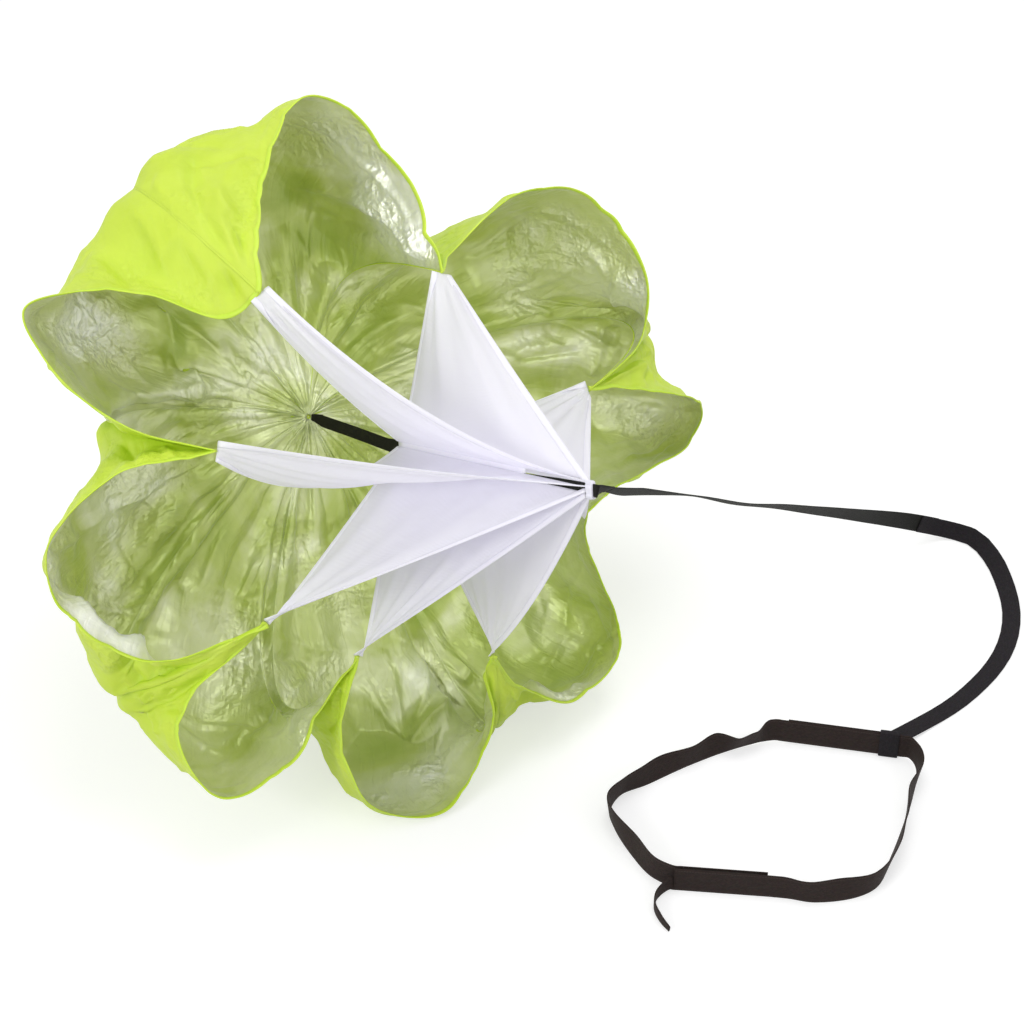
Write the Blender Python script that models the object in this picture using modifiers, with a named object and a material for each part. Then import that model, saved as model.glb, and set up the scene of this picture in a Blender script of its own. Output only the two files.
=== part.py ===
"""Speed parachute for sprint training, standing open on its lower lobes.

Eight cloth gores make the canopy. Eight mesh fins tie the canopy's rim to a
webbing strap on its axis. A tow strap runs from that strap's end down to the
ground and loops round a waist belt, which stands on its edge beside the canopy.

Units are metres, +Z is up and the ground is z = 0. The canopy is drawn in a
frame of its own: X is the bearing zero, Z runs along the canopy's axis from
the crown towards the hub, and the ring of eight pinches is at Z = 0.
"""

import math

import bpy
import numpy as np
from mathutils import Matrix, Vector

OBJECT_NAME = "speed_parachute"

SPLINE_SAMPLES = 24
MERGE_DISTANCE = 0.00001

# Place of the canopy: the ring's centre, and the way that the axis points
RING_CENTRE_X = -0.1133
RING_CENTRE_Y = -0.0354
RING_HEIGHT = 0.430
AXIS_ELEVATION_DEG = 30.4
AXIS_TURN_DEG = 30.7

# Canopy
GORE_COUNT = 8
RING_RADIUS = 0.250
LOBE_REACH = 0.460
TIP_SETBACK = 0.090
CROWN_SETBACK = 0.250
CROWN_OFFSET = 0.060
CROWN_HOLE_RADIUS = 0.003
CROWN_SPREAD = 0.200
CROWN_DIP = 0.050
VALLEY_SPREAD = 0.450
VALLEY_SETBACK = 0.270
LOBE_SPREAD = 0.080
LOBE_BACKSET = 0.220
CLOTH_THICKNESS = 0.0012
SEAM_WIDTH = 0.003
CREASE_DEPTH = 0.007
GORE_COLUMNS = 15
GORE_ROWS = 11
CREASES_A_GORE = 3
CREASE_END_SHARE = 0.8
LOBE_FULLNESS = 0.7
SEAM_WIDTH_SHARE = 0.2

# Bearings are degrees round the axis. Radii are shares of RING_RADIUS, and
# spreads are shares of VALLEY_SPREAD.
CROWN_FIRST_BEARING = 19.0
PINCH_BEARINGS = (22.0, 64.0, 117.5, 149.0, 192.0, 241.0, 274.0, 330.0)
PINCH_RADIUS_SHARES = (1.13, 0.94, 0.96, 0.89, 1.03, 1.04, 1.10, 1.00)
VALLEY_SPREAD_SHARES = (0.82, 0.36, 0.85, 0.55, 0.85, 0.30, 0.92, 0.06)
LOBE_SPREAD_SHARES = (-0.60, -1.20, -0.90, -0.30, 0.20, 0.80, 1.00, -1.00)
# How far into a gore the spread at each pinch's seam reaches, as a share of its width
SEAM_REACH_SHARES = (0.58, 0.30, 0.52, 0.30, 0.33, 0.30, 0.42, 0.30)

# Free edge of each gore between its two pinches. A row holds a bearing in
# degrees, a share of the way from the ring out to LOBE_REACH, and a share of
# TIP_SETBACK. The first gore lies before the first pinch.
RIM_SHARES = (
    ((334, 0.31, 0.45), (339, 0.59, 0.80), (347.5, 0.90, 1.0), (354, 1.00, 1.0),
     (2, 0.76, 0.80), (11, 0.45, 0.45)),
    ((31, 0.21, 0.45), (36, 0.53, 0.80), (44, 0.94, 1.0), (48.5, 1.08, 1.0),
     (56, 0.79, 0.80), (62, 0.38, 0.45)),
    ((71, 0.42, 0.40), (82, 0.80, 0.70), (88, 0.84, 0.90), (94, 0.82, 1.0),
     (104, 0.67, 0.90), (111.5, 0.46, 0.70), (115.5, 0.16, 0.40)),
    ((120, 0.18, 0.45), (120.5, 0.48, 0.80), (126, 0.78, 1.0), (136, 0.89, 1.0),
     (145, 0.61, 0.80), (147, 0.15, 0.45)),
    ((151.5, 0.14, 0.40), (154.5, 0.39, 0.70), (161.5, 0.76, 0.90), (169, 0.90, 1.0),
     (177, 0.90, 0.90), (189, 0.52, 0.70), (190, 0.20, 0.40)),
    ((196, 0.32, 0.45), (204.5, 0.74, 0.80), (216.5, 0.87, 1.0), (221, 0.79, 1.0),
     (227.5, 0.45, 0.80), (235, 0.18, 0.45)),
    ((247.5, 0.31, 0.45), (251.5, 0.63, 0.80), (255.5, 0.96, 1.0), (260, 1.06, 1.0),
     (263, 0.97, 0.80), (268, 0.60, 0.45)),
    ((277, 0.61, 0.40), (283, 0.85, 0.70), (295, 1.00, 0.90), (304, 0.93, 1.0),
     (312, 0.72, 0.90), (318, 0.46, 0.70), (325.5, 0.13, 0.40)),
)

# Mesh fins
FIN_THICKNESS = 0.0008
FIN_RIM_WIDTH = 0.028
FIN_RIM_INSET = 0.003
FIN_COLUMNS = 11
FIN_ROWS = 6
FIN_BILLOW = 0.010
FIN_SAG = 0.050
# Shares of FIN_SAG at the edge that runs to the hub and at the inner edge
FIN_SAG_SHARES = ((0.80, 0.20), (0.10, 1.00), (0.06, 0.06), (0.06, 0.06),
                  (0.50, 0.20), (0.20, 0.20), (0.10, 0.10), (0.06, 0.06))

# Straps
STRAP_WIDTH = 0.025
STRAP_THICKNESS = 0.0016
RUNNING_GAP = 0.0003
LOOSE_GAP = 0.0004
HUB_REACH = 0.460
HUB_OFFSET_UP = 0.015
HUB_OFFSET_LEFT = -0.021
INNER_REACH = 0.020
INNER_OFFSET_UP = 0.036
INNER_OFFSET_LEFT = -0.002
STRAP_BEARING = -12.0
CROWN_STRAP_BEARING = 45.0
STRAP_FOOT_LENGTH = 0.018
STRAP_FOOT_RISE = 0.008
FOLD_REACH = 0.020
FOLD_DROP = 0.010
SLEEVE_WALL = 0.0008
SLEEVE_LENGTH = 0.300
BINDING_WALL = 0.0015
BINDING_LENGTH = 0.012
STRAP_SAMPLES = 130
# Places of the strap's route points: between the crown and the inner point,
# between the inner point and the hub, past the hub in binding lengths, and from
# the hub to the leader's start
CROWN_RUN_SHARE = 0.5
SLEEVE_RUN_SHARES = (0.3, 0.7)
BINDING_RUN_SHARES = (0.9, 1.2)
FOLD_RUN_SHARE = 0.4
# Share of the strap, at its fold, over which it rolls to the leader's own roll
FOLD_ROLL_SHARE = 0.0566
# Places of the fins' inner edges across the strap, as shares of its width
FIN_PLACE_SHARES = (0.36, 0.12, -0.12, -0.36, -0.36, -0.12, 0.12, 0.36)

# Crown patch
PATCH_RADIUS = 0.022
PATCH_HOLE_RADIUS = 0.004
PATCH_THICKNESS = 0.0012
PATCH_STEPS = 32

# Tow strap's route from the hub's fold to the pivot on its end loop. A row
# holds x, y, z and the roll of the webbing in degrees, where 0 lies flat.
TOW_ROUTE = (
    (0.1237, -0.3374, 0.658, 95), (0.1417, -0.2944, 0.620, 62), (0.1627, -0.2474, 0.580, 34),
    (0.1987, -0.1854, 0.526, 20), (0.2407, -0.1224, 0.470, 16), (0.2977, -0.0374, 0.388, 22),
    (0.3567, 0.0516, 0.310, 32), (0.4067, 0.1186, 0.248, 42), (0.4537, 0.1816, 0.190, 52),
    (0.4967, 0.2326, 0.142, 64), (0.5307, 0.2716, 0.105, 74), (0.5657, 0.3096, 0.068, 86),
    (0.5927, 0.3346, 0.042, 96), (0.6167, 0.3496, 0.024, 106), (0.6417, 0.3546, 0.0125, 116),
    (0.6717, 0.3396, 0.0115, 128), (0.6927, 0.3006, 0.0085, 145), (0.7027, 0.2546, 0.0050, 160),
    (0.7057, 0.2046, 0.0018, 176), (0.6987, 0.1596, 0.0012, 180), (0.6837, 0.1176, 0.0012, 180),
    (0.6617, 0.0796, 0.0012, 180), (0.6347, 0.0456, 0.0012, 180), (0.6067, 0.0166, 0.0012, 180),
    (0.5787, -0.0064, 0.0012, 180), (0.5527, -0.0264, 0.0030, 180), (0.5317, -0.0427, 0.0050, 180),
    (0.5102, -0.0570, 0.0050, 180), (0.5052, -0.0603, 0.0050, 180),
)
TOW_SEGMENTS = 72
SPLICE_PLACE_SHARE = 0.66
SPLICE_LENGTH = 0.040
SPLICE_SEGMENTS = 6

# Waist belt
BELT_WIDTH = 0.038
BELT_THICKNESS = 0.0020
BELT_CENTRE_X = 0.3417
BELT_CENTRE_Y = -0.1904
BELT_SPAN = 0.400
# Ends of the straight back and of the overlap, as shares of BELT_SPAN from the
# belt's centre
BACK_SHARES = ((0.0500, 0.3425), (0.4750, 0.2625))
OVERLAP_SHARES = ((-0.3075, -0.2925), (-0.0250, -0.3200))
BELT_STRAIGHT_INSET = 0.008
LOOP_INSET = 0.0265
NECK_LENGTH = 0.036
PIVOT_REACH = 0.024
TAPE_THICKNESS = 0.0010
TAPE_WIDTH = 0.034
TAPE_INSET = 0.011
DOUBLER_END_SHARE = 0.75
BELT_SEGMENTS = 84
LIFT_RUN = 0.060
TAIL_SEGMENTS = 10
# Plan of the belt between the overlap's inner layer and the straight back,
# between the back and the overlap's outer layer, and of the tail
BELT_LEFT_ROUTE_SHARES = (
    (-0.3725, -0.2450), (-0.4300, -0.1575), (-0.4800, -0.0425), (-0.4925, 0.0300),
    (-0.4575, 0.1000), (-0.3700, 0.1475), (-0.2325, 0.2325), (-0.0750, 0.3100),
)
BELT_RIGHT_ROUTE_SHARES = (
    (0.4950, 0.2175), (0.4750, 0.1125), (0.4400, 0.0000), (0.3725, -0.1675), (0.3175, -0.2875),
    (0.2425, -0.3325), (0.1175, -0.3500), (0.0425, -0.3350),
)
TAIL_ROUTE_SHARES = (
    (-0.3600, -0.3375), (-0.3687, -0.3800), (-0.3525, -0.4300), (-0.3275, -0.4675),
)
TAIL_WIDTH_SHARES = (1.0, 1.0, 0.95, 0.75, 0.30)

COLOURS = {
    "lime_taffeta": ((0.45, 0.83, 0.09), 0.42),
    "white_mesh": ((0.86, 0.86, 0.90), 0.60),
    "black_webbing": ((0.012, 0.012, 0.011), 0.70),
    "plum_webbing": ((0.024, 0.019, 0.026), 0.75),
    "brown_webbing": ((0.030, 0.022, 0.020), 0.75),
    "hook_tape": ((0.020, 0.018, 0.017), 0.85),
    "white_tape": ((0.80, 0.80, 0.84), 0.65),
}


def clear_scene():
    """Remove the scene's objects."""
    for obj in list(bpy.data.objects):
        bpy.data.objects.remove(obj, do_unlink=True)


def make_collection(name):
    """Return a new collection in the scene."""
    collection = bpy.data.collections.new(name)
    bpy.context.scene.collection.children.link(collection)
    return collection


def make_material(name):
    """Return the Principled material of one of the named colours."""
    material = bpy.data.materials.get(name)
    if material is None:
        colour, roughness = COLOURS[name]
        material = bpy.data.materials.new(name)
        material.use_nodes = True
        shader = material.node_tree.nodes["Principled BSDF"]
        shader.inputs["Base Color"].default_value = (*colour, 1.0)
        shader.inputs["Roughness"].default_value = roughness
        shader.inputs["Metallic"].default_value = 0.0
        material.diffuse_color = (*colour, 1.0)
    return material


def bearing(degrees):
    """Return the unit vector at a bearing round the canopy's axis."""
    angle = math.radians(degrees)
    return np.array((math.cos(angle), math.sin(angle), 0.0))


def unit(vector):
    """Return a vector at length one."""
    return vector / np.linalg.norm(vector)


def canopy_matrix():
    """Return the canopy frame: bearing zero points up, Z points at the hub."""
    elevation = math.radians(AXIS_ELEVATION_DEG)
    turn = math.radians(AXIS_TURN_DEG)
    axis = Vector((
        math.cos(elevation) * math.sin(turn),
        -math.cos(elevation) * math.cos(turn),
        math.sin(elevation),
    ))
    up = (Vector((0.0, 0.0, 1.0)) - axis * axis.z).normalized()
    left = axis.cross(up)
    frame = Matrix((up, left, axis)).transposed().to_4x4()
    frame.translation = (RING_CENTRE_X, RING_CENTRE_Y, RING_HEIGHT)
    return frame


def as_array(matrix):
    """Return a Blender matrix as a numpy array."""
    return np.array([list(row) for row in matrix])


def to_world(points):
    """Move canopy-frame points to the world."""
    frame = as_array(canopy_matrix())
    return points @ frame[:3, :3].T + frame[:3, 3]


def to_canopy(points):
    """Move world points to the canopy frame."""
    frame = as_array(canopy_matrix())
    return (points - frame[:3, 3]) @ frame[:3, :3]


def settle(points):
    """Lay what would reach below the ground flat on it."""
    world = to_world(points)
    lowest = CLOTH_THICKNESS / 2
    world[..., 2] = np.maximum(world[..., 2], lowest)
    return to_canopy(world)


def smooth_path(points, count):
    """Return count points at equal steps along a centripetal spline."""
    points = np.asarray(points, dtype=float)
    first = 2 * points[0] - points[1]
    last = 2 * points[-1] - points[-2]
    knots = np.vstack((first, points, last))
    samples = []
    for index in range(1, len(knots) - 2):
        span = knots[index - 1:index + 3]
        steps = np.sqrt(np.linalg.norm(np.diff(span[:, :3], axis=0), axis=1))
        marks = np.concatenate(((0.0,), np.cumsum(steps)))
        here = np.linspace(marks[1], marks[2], SPLINE_SAMPLES, endpoint=False)[:, None]
        level = list(span)
        for width in (1, 2, 3):
            level = [
                blend_knots(level[place], level[place + 1], here, marks, place, width)
                for place in range(len(level) - 1)
            ]
        samples.append(level[0])
    samples.append(knots[-2][None, :])
    return even_steps(np.vstack(samples), count)


def blend_knots(before, after, here, marks, place, width):
    """Blend two rows of the spline's pyramid at the given marks."""
    low = place if width < 3 else 1
    high = low + width if width < 3 else 2
    share = (here - marks[low]) / (marks[high] - marks[low])
    return before * (1 - share) + after * share


def path_marks(path):
    """Return the distance along a path at each of its points."""
    steps = np.linalg.norm(np.diff(path[:, :3], axis=0), axis=1)
    return np.concatenate(((0.0,), np.cumsum(steps)))


def points_at(path, marks, wanted):
    """Return the rows of a path at the wanted distances along it."""
    return np.stack([np.interp(wanted, marks, column) for column in path.T], axis=1)


def even_steps(path, count):
    """Return count rows at equal distances along a path."""
    marks = path_marks(path)
    return points_at(path, marks, np.linspace(0.0, marks[-1], count))


def tangents(path):
    """Return the unit direction of a path at each of its points."""
    direction = np.gradient(path[:, :3], axis=0)
    return direction / np.linalg.norm(direction, axis=1)[:, None]


def grid_faces(rows, columns):
    """Return the quads of a grid stored row by row."""
    first = np.arange(rows * columns).reshape(rows, columns)
    corners = (first[:-1, :-1], first[:-1, 1:], first[1:, 1:], first[1:, :-1])
    return np.stack(corners, axis=-1).reshape(-1, 4).tolist()


def add_sheet(collection, name, grid, thickness, material, parent=None):
    """Add a grid of points as an open surface with Solidify."""
    rows, columns, _ = grid.shape
    mesh = bpy.data.meshes.new(name)
    mesh.from_pydata(grid.reshape(-1, 3).tolist(), [], grid_faces(rows, columns))
    mesh.update()
    obj = bpy.data.objects.new(name, mesh)
    collection.objects.link(obj)
    obj.data.materials.append(make_material(material))
    obj.parent = parent
    solidify = obj.modifiers.new("cloth", "SOLIDIFY")
    solidify.thickness = thickness
    solidify.offset = 0.0
    mesh.shade_smooth()
    return obj


def add_empty(collection, name, matrix):
    """Add an empty that carries a group of pieces."""
    empty = bpy.data.objects.new(name, None)
    collection.objects.link(empty)
    empty.matrix_world = matrix
    empty.empty_display_size = STRAP_WIDTH
    return empty


def crown_centre():
    """Return the crown, which the strap pulls a little off the axis."""
    return np.array((CROWN_OFFSET, 0.0, -CROWN_SETBACK))


def pinch_point(index):
    """Return the rim's pinch point where a fin holds it."""
    radius = RING_RADIUS * PINCH_RADIUS_SHARES[index]
    return bearing(PINCH_BEARINGS[index]) * radius


def rim_curve(gore, count):
    """Return a gore's free edge from one pinch to the next."""
    span = LOBE_REACH - RING_RADIUS
    points = [pinch_point(gore - 1)]
    for degrees, reach, setback in RIM_SHARES[gore]:
        point = bearing(degrees) * (RING_RADIUS + span * reach)
        point[2] = -TIP_SETBACK * setback
        points.append(point)
    points.append(pinch_point(gore))
    return smooth_path(points, count)


def crown_bearings(gore, shares):
    """Return bearings at the crown, where all the gores are cut alike."""
    width = 360.0 / GORE_COUNT
    return CROWN_FIRST_BEARING + width * (gore - 1 + shares)


def seam_fade(distance, reach):
    """Return 1 at a seam, falling smoothly to 0 at its reach."""
    share = np.clip(distance / reach, 0.0, 1.0)
    return 1.0 - share * share * (3.0 - 2.0 * share)


def gore_spread(gore, shares):
    """Return how far each column swells beyond the free edge."""
    lobe = LOBE_SPREAD * LOBE_SPREAD_SHARES[gore]
    low = VALLEY_SPREAD * VALLEY_SPREAD_SHARES[gore - 1] - lobe
    high = VALLEY_SPREAD * VALLEY_SPREAD_SHARES[gore] - lobe
    low_fade = seam_fade(shares, SEAM_REACH_SHARES[gore - 1])
    high_fade = seam_fade(1.0 - shares, SEAM_REACH_SHARES[gore])
    return lobe + low * low_fade + high * high_fade


def gore_surface(gore):
    """Return a gore's grid, with rows from the crown to the free edge.

    Each column is a cubic curve: it leaves the crown square to the axis, dips
    behind it, swells out past the free edge and comes forward to that edge.
    Between two pinches the free edge is an arch, and the seams are valleys.
    """
    walls = GORE_COLUMNS - 1
    shares = np.linspace(0.0, 1.0, walls)
    rim = rim_curve(gore, walls)
    lobe = np.sin(math.pi * shares)[:, None] ** LOBE_FULLNESS
    spread = gore_spread(gore, shares)[:, None]
    setback = VALLEY_SETBACK + (LOBE_BACKSET - VALLEY_SETBACK) * lobe

    outward = rim * np.array((1.0, 1.0, 0.0))
    outward = outward / np.linalg.norm(outward, axis=1)[:, None]
    at_crown = np.stack([bearing(value) for value in crown_bearings(gore, shares)])
    axis = np.array((0.0, 0.0, 1.0))
    start = crown_centre() + at_crown * CROWN_HOLE_RADIUS
    leave = start + at_crown * CROWN_SPREAD - axis * CROWN_DIP
    arrive = rim + outward * spread - axis * setback

    along = np.linspace(0.0, 1.0, GORE_ROWS)[:, None, None]
    rest = 1.0 - along
    grid = (rest ** 3 * start + 3 * rest ** 2 * along * leave
            + 3 * rest * along ** 2 * arrive + along ** 3 * rim)
    fade = np.sin(math.pi * np.minimum(along / CREASE_END_SHARE, 1.0)) ** 2
    wave = np.sin(2 * math.pi * CREASES_A_GORE * shares)[None, :, None]
    grid = grid + axis * (CREASE_DEPTH * fade * wave)
    return add_seams(gore, grid)


def seam_direction(pinch):
    """Return the direction across a seam, which both of its gores share."""
    return bearing(PINCH_BEARINGS[pinch] + 90.0)


def add_seams(gore, grid):
    """Turn a gore's two side columns into flat seam allowances.

    Both gores of a seam end in a narrow strip square to the seam's own plane,
    so that their edges face each other across the same small gap.
    """
    low = grid[:, 0]
    high = grid[:, -1]
    width = np.linalg.norm(high - low, axis=1)[:, None]
    strip = np.minimum(SEAM_WIDTH, width * SEAM_WIDTH_SHARE)
    before = seam_direction(gore - 1)
    after = seam_direction(gore)
    half_gap = RUNNING_GAP / 2
    columns = [low + before * half_gap, low + before * strip]
    columns += [grid[:, index] for index in range(1, grid.shape[1] - 1)]
    columns += [high - after * strip, high - after * half_gap]
    return settle(np.stack(columns, axis=1))


def add_gores(collection, frame):
    """Add the eight cloth gores."""
    for gore in range(GORE_COUNT):
        name = "canopy_gore_%d" % (gore + 1)
        add_sheet(collection, name, gore_surface(gore), CLOTH_THICKNESS,
                  "lime_taffeta", frame)


def hub_point():
    """Return the point on the strap where the fins meet."""
    return np.array((HUB_OFFSET_UP, HUB_OFFSET_LEFT, HUB_REACH))


def inner_point():
    """Return the point on the strap where the fins begin."""
    return np.array((INNER_OFFSET_UP, INNER_OFFSET_LEFT, INNER_REACH))


def strap_frame():
    """Return the strap's direction, its width's and its upper face's."""
    along = unit(hub_point() - inner_point())
    across = bearing(STRAP_BEARING)
    across = unit(across - along * np.dot(across, along))
    return along, across, np.cross(along, across)


def fin_surface(index):
    """Return a fin's grid, with rows from its hub edge to its inner edge.

    A fin has four corners: two on the canopy's rim, side by side, and two on
    the strap, at the hub and at the inner point. Its cloth hangs between them.
    """
    along, across, face = strap_frame()
    side = 1.0 if index < GORE_COUNT // 2 else -1.0
    sleeve = RUNNING_GAP + SLEEVE_WALL + RUNNING_GAP
    height = STRAP_THICKNESS / 2 + sleeve + FIN_THICKNESS
    seat = across * (STRAP_WIDTH * FIN_PLACE_SHARES[index]) + face * (side * height)
    hub = hub_point() - along * (BINDING_LENGTH / 2 + LOOSE_GAP) + seat
    inner = inner_point() + seat

    pinch = pinch_point(index)
    inward = unit(pinch) * (CLOTH_THICKNESS / 2 + FIN_THICKNESS / 2 + RUNNING_GAP)
    rim = pinch - inward - np.array((0.0, 0.0, FIN_RIM_INSET))
    half = seam_direction(index) * (FIN_RIM_WIDTH / 2)

    rows = np.linspace(0.0, 1.0, FIN_ROWS)[:, None, None]
    columns = np.linspace(0.0, 1.0, FIN_COLUMNS)[None, :, None]
    outer = rim + half * (2 * rows - 1)
    strap = hub + (inner - hub) * rows
    grid = outer + (strap - outer) * columns
    bow = 4 * columns * (1 - columns)
    hub_sag, inner_sag = FIN_SAG_SHARES[index]
    sag = FIN_SAG * (hub_sag + (inner_sag - hub_sag) * rows) * bow
    down = to_canopy(np.array((0.0, 0.0, -1.0))) - to_canopy(np.zeros(3))
    billow = FIN_BILLOW * np.sin(math.pi * rows) * np.sin(math.pi * columns)
    return grid + down * sag + seam_direction(index) * billow


def add_fins(collection, frame):
    """Add the eight mesh fins."""
    for index in range(GORE_COUNT):
        name = "mesh_fin_%d" % (index + 1)
        add_sheet(collection, name, fin_surface(index), FIN_THICKNESS,
                  "white_mesh", frame)


def ribbon_grid(path, across, widths, columns=2):
    """Return the grid of a flat strap along a path."""
    shares = np.linspace(-0.5, 0.5, columns)[None, :, None]
    widths = np.broadcast_to(widths, (len(path),))[:, None, None]
    return path[:, None, :3] + across[:, None, :] * (shares * widths)


def add_crown_patch(collection, frame):
    """Add the round patch behind the crown, as a turned ring."""
    back = CLOTH_THICKNESS / 2
    slope = CROWN_DIP / CROWN_SPREAD
    profile = (
        (PATCH_HOLE_RADIUS, back), (PATCH_RADIUS, back),
        (PATCH_RADIUS, back + PATCH_THICKNESS),
        (PATCH_HOLE_RADIUS, back + PATCH_THICKNESS),
    )
    mesh = bpy.data.meshes.new("crown_patch")
    points = [(radius, 0.0, -depth - slope * radius) for radius, depth in profile]
    mesh.from_pydata(points, [(0, 1), (1, 2), (2, 3), (3, 0)], [])
    obj = bpy.data.objects.new("crown_patch", mesh)
    collection.objects.link(obj)
    mesh.materials.append(make_material("lime_taffeta"))
    obj.parent = frame
    obj.location = crown_centre()
    screw = obj.modifiers.new("turn", "SCREW")
    screw.steps = PATCH_STEPS
    screw.render_steps = PATCH_STEPS
    screw.use_merge_vertices = True
    screw.merge_threshold = MERGE_DISTANCE
    return obj


def tow_exit():
    """Return where the leader starts, its way and its width's, in the canopy."""
    path = tow_route()
    across = rolled_across(path)
    origin = to_canopy(np.zeros(3))
    way = to_canopy(tangents(path)[0]) - origin
    return to_canopy(path[0, :3]), way, to_canopy(across[0]) - origin


def centre_strap_path():
    """Return the centre strap's path in the canopy frame, and its width's."""
    crown = crown_centre()
    inner = inner_point()
    hub = hub_point()
    along = strap_frame()[0]
    foot_way = bearing(CROWN_STRAP_BEARING + 90.0)
    seat = CLOTH_THICKNESS / 2 + CREASE_DEPTH / 4 + STRAP_THICKNESS
    foot = crown + np.array((0.0, 0.0, seat))
    rise = unit(inner - crown)
    exit_point, exit_way, exit_across = tow_exit()
    fold = hub + along * FOLD_REACH
    path = smooth_path((
        foot + foot_way * STRAP_FOOT_LENGTH,
        foot + foot_way * (STRAP_FOOT_RISE / 2),
        foot + rise * STRAP_FOOT_RISE,
        foot + rise * (3 * STRAP_FOOT_RISE),
        foot + (inner - foot) * CROWN_RUN_SHARE,
        inner - along * BINDING_LENGTH,
        inner,
        inner + (hub - inner) * SLEEVE_RUN_SHARES[0],
        inner + (hub - inner) * SLEEVE_RUN_SHARES[1],
        hub - along * BINDING_LENGTH,
        hub + along * (BINDING_RUN_SHARES[0] * BINDING_LENGTH),
        hub + along * (BINDING_RUN_SHARES[1] * BINDING_LENGTH),
        fold + unit(exit_point - hub) * (FOLD_DROP / 4),
        hub + along * (FOLD_REACH / 2) + (exit_point - hub) * FOLD_RUN_SHARE,
        exit_point - exit_way * FOLD_DROP,
        exit_point - exit_way * RUNNING_GAP,
    ), STRAP_SAMPLES)
    reach = (path[:, 2] + CROWN_SETBACK) / (CROWN_SETBACK + INNER_REACH - BINDING_LENGTH)
    past = np.arange(len(path)) > len(path) // 2
    reach = np.where(past, 1.0, np.clip(reach, 0.0, 1.0))
    degrees = CROWN_STRAP_BEARING + (STRAP_BEARING - CROWN_STRAP_BEARING) * reach
    wanted = np.stack([bearing(value) for value in degrees])
    place = np.linspace(0.0, 1.0, len(path))
    end = 1.0 - FOLD_ROLL_SHARE / 6
    folded = np.clip((place - end) / FOLD_ROLL_SHARE + 1.0, 0.0, 1.0)[:, None]
    wanted = wanted * (1.0 - folded) + exit_across * folded
    direction = tangents(path)
    wanted = wanted - direction * np.sum(wanted * direction, axis=1)[:, None]
    return path, wanted / np.linalg.norm(wanted, axis=1)[:, None]


def add_centre_strap(collection, frame):
    """Add the strap on the canopy's axis, from the crown past the hub."""
    path, across = centre_strap_path()
    grid = ribbon_grid(path, across, STRAP_WIDTH)
    return add_sheet(collection, "centre_strap", grid, STRAP_THICKNESS,
                     "black_webbing", frame)


def oblong_outline(half_width, half_height):
    """Return the four corners of an oblong outline."""
    return ((-half_width, -half_height), (half_width, -half_height),
            (half_width, half_height), (-half_width, half_height))


def add_oblong_ring(collection, name, wall, length, matrix, material, parent):
    """Add a flattened tube round the strap, as a flat curve that is extruded."""
    curve = bpy.data.curves.new(name, "CURVE")
    curve.dimensions = "2D"
    curve.fill_mode = "BOTH"
    curve.extrude = length / 2
    inner = (STRAP_WIDTH / 2 + RUNNING_GAP, STRAP_THICKNESS / 2 + RUNNING_GAP)
    outer = (inner[0] + wall, inner[1] + wall)
    for size in (outer, inner):
        corners = oblong_outline(*size)
        spline = curve.splines.new("POLY")
        spline.points.add(len(corners) - 1)
        for point, (x, y) in zip(spline.points, corners):
            point.co = (x, y, 0.0, 1.0)
        spline.use_cyclic_u = True
    obj = bpy.data.objects.new(name, curve)
    collection.objects.link(obj)
    curve.materials.append(make_material(material))
    obj.parent = parent
    obj.matrix_local = matrix
    return obj


def strap_matrix(place):
    """Return the strap's own frame at a point on it."""
    along, across, face = strap_frame()
    matrix = Matrix([list(row) for row in np.stack((across, face, along), axis=1)])
    matrix = matrix.to_4x4()
    matrix.translation = place
    return matrix


def add_strap_covers(collection, frame):
    """Add the sleeve that the fins are sewn to, and the binding at the hub."""
    along = strap_frame()[0]
    middle = inner_point() + along * (SLEEVE_LENGTH / 2 + LOOSE_GAP)
    add_oblong_ring(collection, "strap_sleeve", SLEEVE_WALL, SLEEVE_LENGTH,
                    strap_matrix(middle), "white_mesh", frame)
    add_oblong_ring(collection, "hub_binding", BINDING_WALL, BINDING_LENGTH,
                    strap_matrix(hub_point()), "white_tape", frame)


def tow_route():
    """Return the tow strap's whole path with the roll in a fourth column."""
    return smooth_path(TOW_ROUTE, TOW_SEGMENTS + 1)


def rolled_across(path):
    """Return the width's direction from the roll in a path's fourth column."""
    direction = tangents(path)
    flat = np.stack((direction[:, 1], -direction[:, 0], np.zeros(len(path))), axis=1)
    flat = flat / np.linalg.norm(flat, axis=1)[:, None]
    steep = np.cross(flat, direction)
    roll = np.radians(path[:, 3])[:, None]
    return flat * np.cos(roll) + steep * np.sin(roll)


def add_tow_straps(collection):
    """Add the leader from the hub and the tow strap that is sewn to it."""
    path = tow_route()
    marks = path_marks(path)
    across = rolled_across(path)
    splice = marks[-1] * SPLICE_PLACE_SHARE
    full = np.hstack((path, across))

    start = RUNNING_GAP
    wanted = np.linspace(start, splice, int(TOW_SEGMENTS * SPLICE_PLACE_SHARE))
    leader = points_at(full, marks, wanted)
    grid = ribbon_grid(leader, leader[:, 4:7], STRAP_WIDTH)
    add_sheet(collection, "leader_strap", grid, STRAP_THICKNESS, "black_webbing")

    start = splice - SPLICE_LENGTH
    count = int(TOW_SEGMENTS * (1 - SPLICE_PLACE_SHARE)) + SPLICE_SEGMENTS
    wanted = np.linspace(start, marks[-1], count)
    tow = points_at(full, marks, wanted)
    under = np.cross(tangents(tow), tow[:, 4:7])
    past = np.clip((wanted - splice) / SPLICE_LENGTH, 0.0, 1.0)
    offset = (STRAP_THICKNESS + LOOSE_GAP) * (1 - past)
    tow[:, :3] = tow[:, :3] + under * offset[:, None]
    grid = ribbon_grid(tow, tow[:, 4:7], STRAP_WIDTH)
    add_sheet(collection, "tow_strap", grid, STRAP_THICKNESS, "plum_webbing")


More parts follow.
